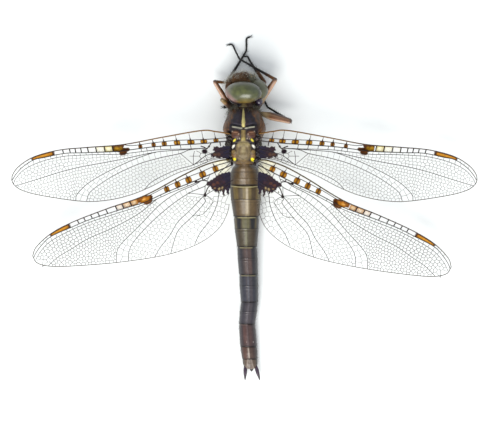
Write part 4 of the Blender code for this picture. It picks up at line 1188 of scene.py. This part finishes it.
        # The brown mark at the node and the amber cells past it.
        patch = patch_of(u + wing["shift"][side] * -0.6, v, wing["nodal"], 0.14)
        dye(dyes["node"], patch)
        gold_u, gold_v = wing["gold"]
        glow = blot(u + 0.15 * np.sin(v * 9), v + 0.1 * np.sin(u * 8), (gold_u, gold_v), (0.75, 0.34), 0, 0.5)
        dye(dyes["gold"], 0.9 * patch * glow)
        dye(dyes["gleam"], 0.6 * patch * blot(u, v, (gold_u + 0.2, gold_v + 0.1), (0.3, 0.14), 10, 0.6))
        dye("#2F1406", 0.8 * patch * blot(u, v, (gold_u - 1.1, gold_v - 0.2), (0.4, 0.6), 0, 0.6))
        for start, end, deep in wing["amber"]:
            cell = within(u, start, end, 0.1) * within(v, r, lead, 0.08)
            dye(dyes["cell"], deep * cell * (0.8 + 0.2 * np.sin(u * 13) * np.sin(v * 17)))
            hollow = blot(u, rise, ((start + end) / 2, 0.5), ((end - start) * 0.3, 0.28), 0, 0.6)
            dye(dyes["rim"], 0.8 * deep * cell * (1 - hollow))
        # The stigma: orange, paler in its middle, with a dark rim.
        low, high = stigma
        inside = within(v, r - 0.02, lead + 0.02, 0.08)
        ends = within(u, low - 0.1, low + 0.35, 0.25) + within(u, high - 0.12, high + 0.1, 0.15)
        dye("#9A6416", inside * within(u - 0.35 * (v - r), low, high, 0.12))
        dye("#BC8426", 0.6 * inside * blot(u, rise, ((low + high) / 2, 0.45), (1.2, 0.2), 0, 0.6))
        dye("#3F200A", 0.9 * within(v, lead - 0.15, lead + 0.05, 0.1) * within(u, low, high, 0.2))
        dye("#3F200A", 0.9 * inside * ends)
        # The dark root, clouded brown, with a blue painted sheen near the hinge, paler windows, and the knots
        # of the thick veins.
        shade = 0.5 + 0.5 * np.sin(u * 8.3 + v * 3.1) * np.sin(v * 9.7 - u * 2.2)
        base = patch_of(u + 0.05 * np.sin(v * 14), v + 0.05 * np.sin(u * 12), wing["patch"], 0.1)
        dye("#25202B", base)
        dye("#3A2522", 0.7 * base * shade * smooth_step(u, 0.6, 1.6))
        # A blue painted sheen on the dark root near the hinge.
        dye("#1C1E34", 0.5 * base * (1 - shade) * fade(u, 0.8, 1.8))
        for place_u, place_v, wide, tall, tone in wing["windows"]:
            dye(tone, 0.9 * base * blot(u, v, (place_u, place_v), (wide, tall), 25, 0.3))
        for place_u, place_v, wide, tall in wing["knots"]:
            dye("#1A1018", blot(u, v, (place_u, place_v), (wide, tall), 15, 0.25))
        add_piece(f"{kind}_film_{side}", wing_place(wing, side, flat, -0.01),
                  grid_faces(rows, FILM_COLUMNS, False), wing_film, tint,
                  (f"{kind}_{side}",), {"pigment": pigment})

# Hinge plates: small hard plates, near black, low between the veins' roots and the thorax. Each is placed
# off the midline, along the body and up, then sized.
HINGE_PLATES = (
    ((2.2, 11.75, 6.75), (0.62, 0.34, 0.35)), ((2.15, 11.1, 6.75), (0.7, 0.4, 0.35)),
    ((2.35, 10.2, 6.6), (0.62, 0.75, 0.32)), ((2.3, 9.0, 6.5), (0.6, 0.85, 0.32)),
    ((2.2, 7.7, 6.45), (0.6, 0.5, 0.32)), ((1.85, 7.1, 6.2), (0.26, 0.4, 0.3)),
)
HINGE_RINGS, HINGE_SIDES = 24, 36
for side, sign in (("left", -1), ("right", 1)):
    plates = []
    for spot, radii in HINGE_PLATES:
        shape, way = oval_grid((sign * spot[0] + MIDLINE, spot[1], spot[2]), radii, HINGE_RINGS, HINGE_SIDES)
        shape += way * (0.05 * np.sin(shape[..., 1:2] * 11.0) * np.sin(shape[..., 0:1] * 9.0))
        plates.append((shape.reshape(-1, 3), shell_faces(HINGE_RINGS, HINGE_SIDES, True)))
    points, faces = joined(plates)
    tint = plain("#1A1218", points)
    coat(tint, "#4A3626", 0.5 * blot(points[:, 0] * sign, points[:, 1], (2.0, 10.9), (0.3, 0.2)))
    add_piece(f"hinge_plates_{side}", points, faces, thorax_cuticle, tint)


# ---- fuzz -----------------------------------------------------------------------------------------
# Fine setae on the thorax, the face and both sides of the abdomen: tapered hairs of chitin, each springing
# from a pit in the cuticle and bent a little. They are three-sided spikes, in one mesh per region.

# Setae: dry and matt, each hair of one tone between dark grey-brown and pale grey.
fuzz, tree, shader = new_finish("setae", {"Roughness": 0.55, "IOR": 1.55})
hair_tint = add(tree, "Attribute", attribute_name="tint")
tree.links.new(hair_tint.outputs["Color"], shader.inputs["Base Color"])
ROOT_PATCH = 0.003  # share of the map that one hair takes up
HAIR_POINTS = 10
HAIR_FACES = ((0, 1, 4, 3), (1, 2, 5, 4), (2, 0, 3, 5), (3, 4, 7, 6), (4, 5, 8, 7), (5, 3, 6, 8),
              (6, 7, 9), (7, 8, 9), (8, 6, 9))


def hair_coat(name, roots, ways, lengths, radius, colours, patches):
    """Many hairs as one mesh, and on its OFBake map a small patch for each at its root's own place."""
    count = len(roots)
    ways = ways / np.linalg.norm(ways, axis=1, keepdims=True)
    side = np.cross(ways, (0.3, 0.2, 0.93))
    side /= np.maximum(np.linalg.norm(side, axis=1, keepdims=True), 1e-6)
    other = np.cross(ways, side)
    bend = side * chance.normal(0, 0.18, (count, 1)) + other * chance.normal(0, 0.18, (count, 1))
    points, patch = [], []
    for step, size in ((0.0, 1.0), (0.45, 0.75), (0.8, 0.4)):
        middle = roots + (ways * step + bend * step * step) * lengths[:, None]
        for turn in (0, math.tau / 3, 2 * math.tau / 3):
            points.append(middle + (side * math.cos(turn) + other * math.sin(turn)) * radius * size)
            patch.append(patches + ROOT_PATCH * np.array((turn / math.tau, step)))
    points.append(roots + (ways + bend) * lengths[:, None])
    patch.append(patches + ROOT_PATCH * np.array((0.5, 1.0)))
    points = np.stack(points, 1)
    points[..., 2] = np.maximum(points[..., 2], 0.02)
    patch = np.stack(patch, 1)
    faces = [tuple(HAIR_POINTS * k + i for i in face) for k in range(count) for face in HAIR_FACES]
    made = add_piece(name, points.reshape(-1, 3), faces, fuzz, np.repeat(colours, HAIR_POINTS, 0))
    layer = made.data.uv_layers.new(name="OFBake")
    corner = np.zeros(len(made.data.loops), np.int32)
    made.data.loops.foreach_get("vertex_index", corner)
    layer.data.foreach_set("uv", patch.reshape(-1, 2)[corner].astype(np.float32).ravel())


def tones(count, dark, light):
    """A colour for each hair, between a dark and a light one."""
    share = chance.uniform(0, 1, (count, 1))
    return linear(dark) * (1 - share) + linear(light) * share


# Thorax fuzz stands thickest on the front and flanks and is absent between the wings.
TRIED = 9000
normals = grid_normals(thorax_skin)
row = chance.integers(1, RINGS - 1, TRIED)
column = chance.integers(0, SIDES, TRIED)
spot = thorax_skin[row, column]
wanted = (0.03 + 0.6 * smooth_step(spot[:, 1], 13.6, 16.0)) * (spot[:, 2] > 0.9)
wanted = np.where(spot[:, 2] > 5.2, 0.28 * smooth_step(spot[:, 1], 14.9, 15.9), wanted)
keep = chance.uniform(0, 1, TRIED) < wanted
row, column, spot = row[keep], column[keep], spot[keep]
ways = normals[row, column] + np.array((0, 0.35, 0.1)) + chance.normal(0, 0.25, (len(spot), 3))
lengths = chance.uniform(0.35, 0.8, len(spot))
hair_coat("thorax_fuzz", spot, ways, lengths, 0.011, tones(len(spot), "#38342A", "#6E6E5E"),
          np.stack([column / SIDES, row / RINGS], 1) * 0.99)

# Face fuzz is pale and stands straight out from the forehead, the shield, the upper lip and the crown.
TUFTS = (((-0.1, 1.85, 0.5), (1.45, 1.5, 1.1), "front"), ((0, 2.1, -0.55), (1.75, 1.35, 1.2), "front"),
         ((0, 1.9, -1.8), (1.5, 1.2, 1.0), "front"), ((0.45, 1.95, 1.4), (1.15, 0.7, 0.7), "brow"))
TUFT_RINGS, TUFT_SIDES, TUFT_TRIED = 60, 90, 900
roots, ways, maps = [], [], []
for centre, radii, part in TUFTS:
    shape, way = oval_grid(centre, radii, TUFT_RINGS, TUFT_SIDES)
    row = chance.integers(5, TUFT_RINGS - 5, TUFT_TRIED)
    column = chance.integers(0, TUFT_SIDES, TUFT_TRIED)
    out = way[row, column]
    keep = out[:, 1] > 0.15
    if part == "brow":
        keep = (out[:, 2] > -0.4) & (out[:, 1] > -0.3) & (out[:, 0] > -0.3)
    roots.append(shape[row, column][keep])
    ways.append((out + chance.normal(0, 0.2, out.shape))[keep])
    maps.append(np.stack([column / TUFT_SIDES, (row / TUFT_RINGS + len(maps)) / len(TUFTS)], 1)[keep] * 0.99)
roots, ways, maps = np.vstack(roots), np.vstack(ways), np.vstack(maps)
tips = in_head(roots + ways)
roots = in_head(roots)
lengths = chance.uniform(0.3, 0.75, len(roots))
hair_coat("face_fuzz", roots, tips - roots, lengths, 0.010, tones(len(roots), "#8A887A", "#D4D4CA"), maps)

# Flank fuzz: short hairs along both sides of every ring of the abdomen, longest on the rear ones.
count = 1100
place_y = chance.uniform(-25.2, 6.5, count)
rows = np.array(ABDOMEN)[::-1]
around = np.where(chance.uniform(0, 1, count) < 0.5, 0.0, math.pi) + chance.normal(0.1, 0.5, count)
middle, width, height, low = (np.interp(place_y, rows[:, 0], rows[:, k]) for k in (1, 2, 3, 4))
root_x = middle + np.cos(around) * width / 2 * 0.98
root_z = np.maximum(low + 0.42 * height + np.sin(around) * height * 0.45, 0.1)
ways = np.stack([np.cos(around), np.full(count, -0.55), np.sin(around)], 1)
ways += chance.normal(0, 0.15, (count, 3))
lengths = np.interp(place_y, (-25, -18, 0, 6), (0.42, 0.36, 0.2, 0.35)) * chance.uniform(0.7, 1.2, count)
hair_coat("flank_fuzz", np.stack([root_x, place_y, root_z], 1), ways, lengths, 0.009,
          tones(count, "#3A332C", "#6E665A"),
          np.stack([around % math.tau / math.tau, (place_y + 26) / 33], 1) * 0.99)
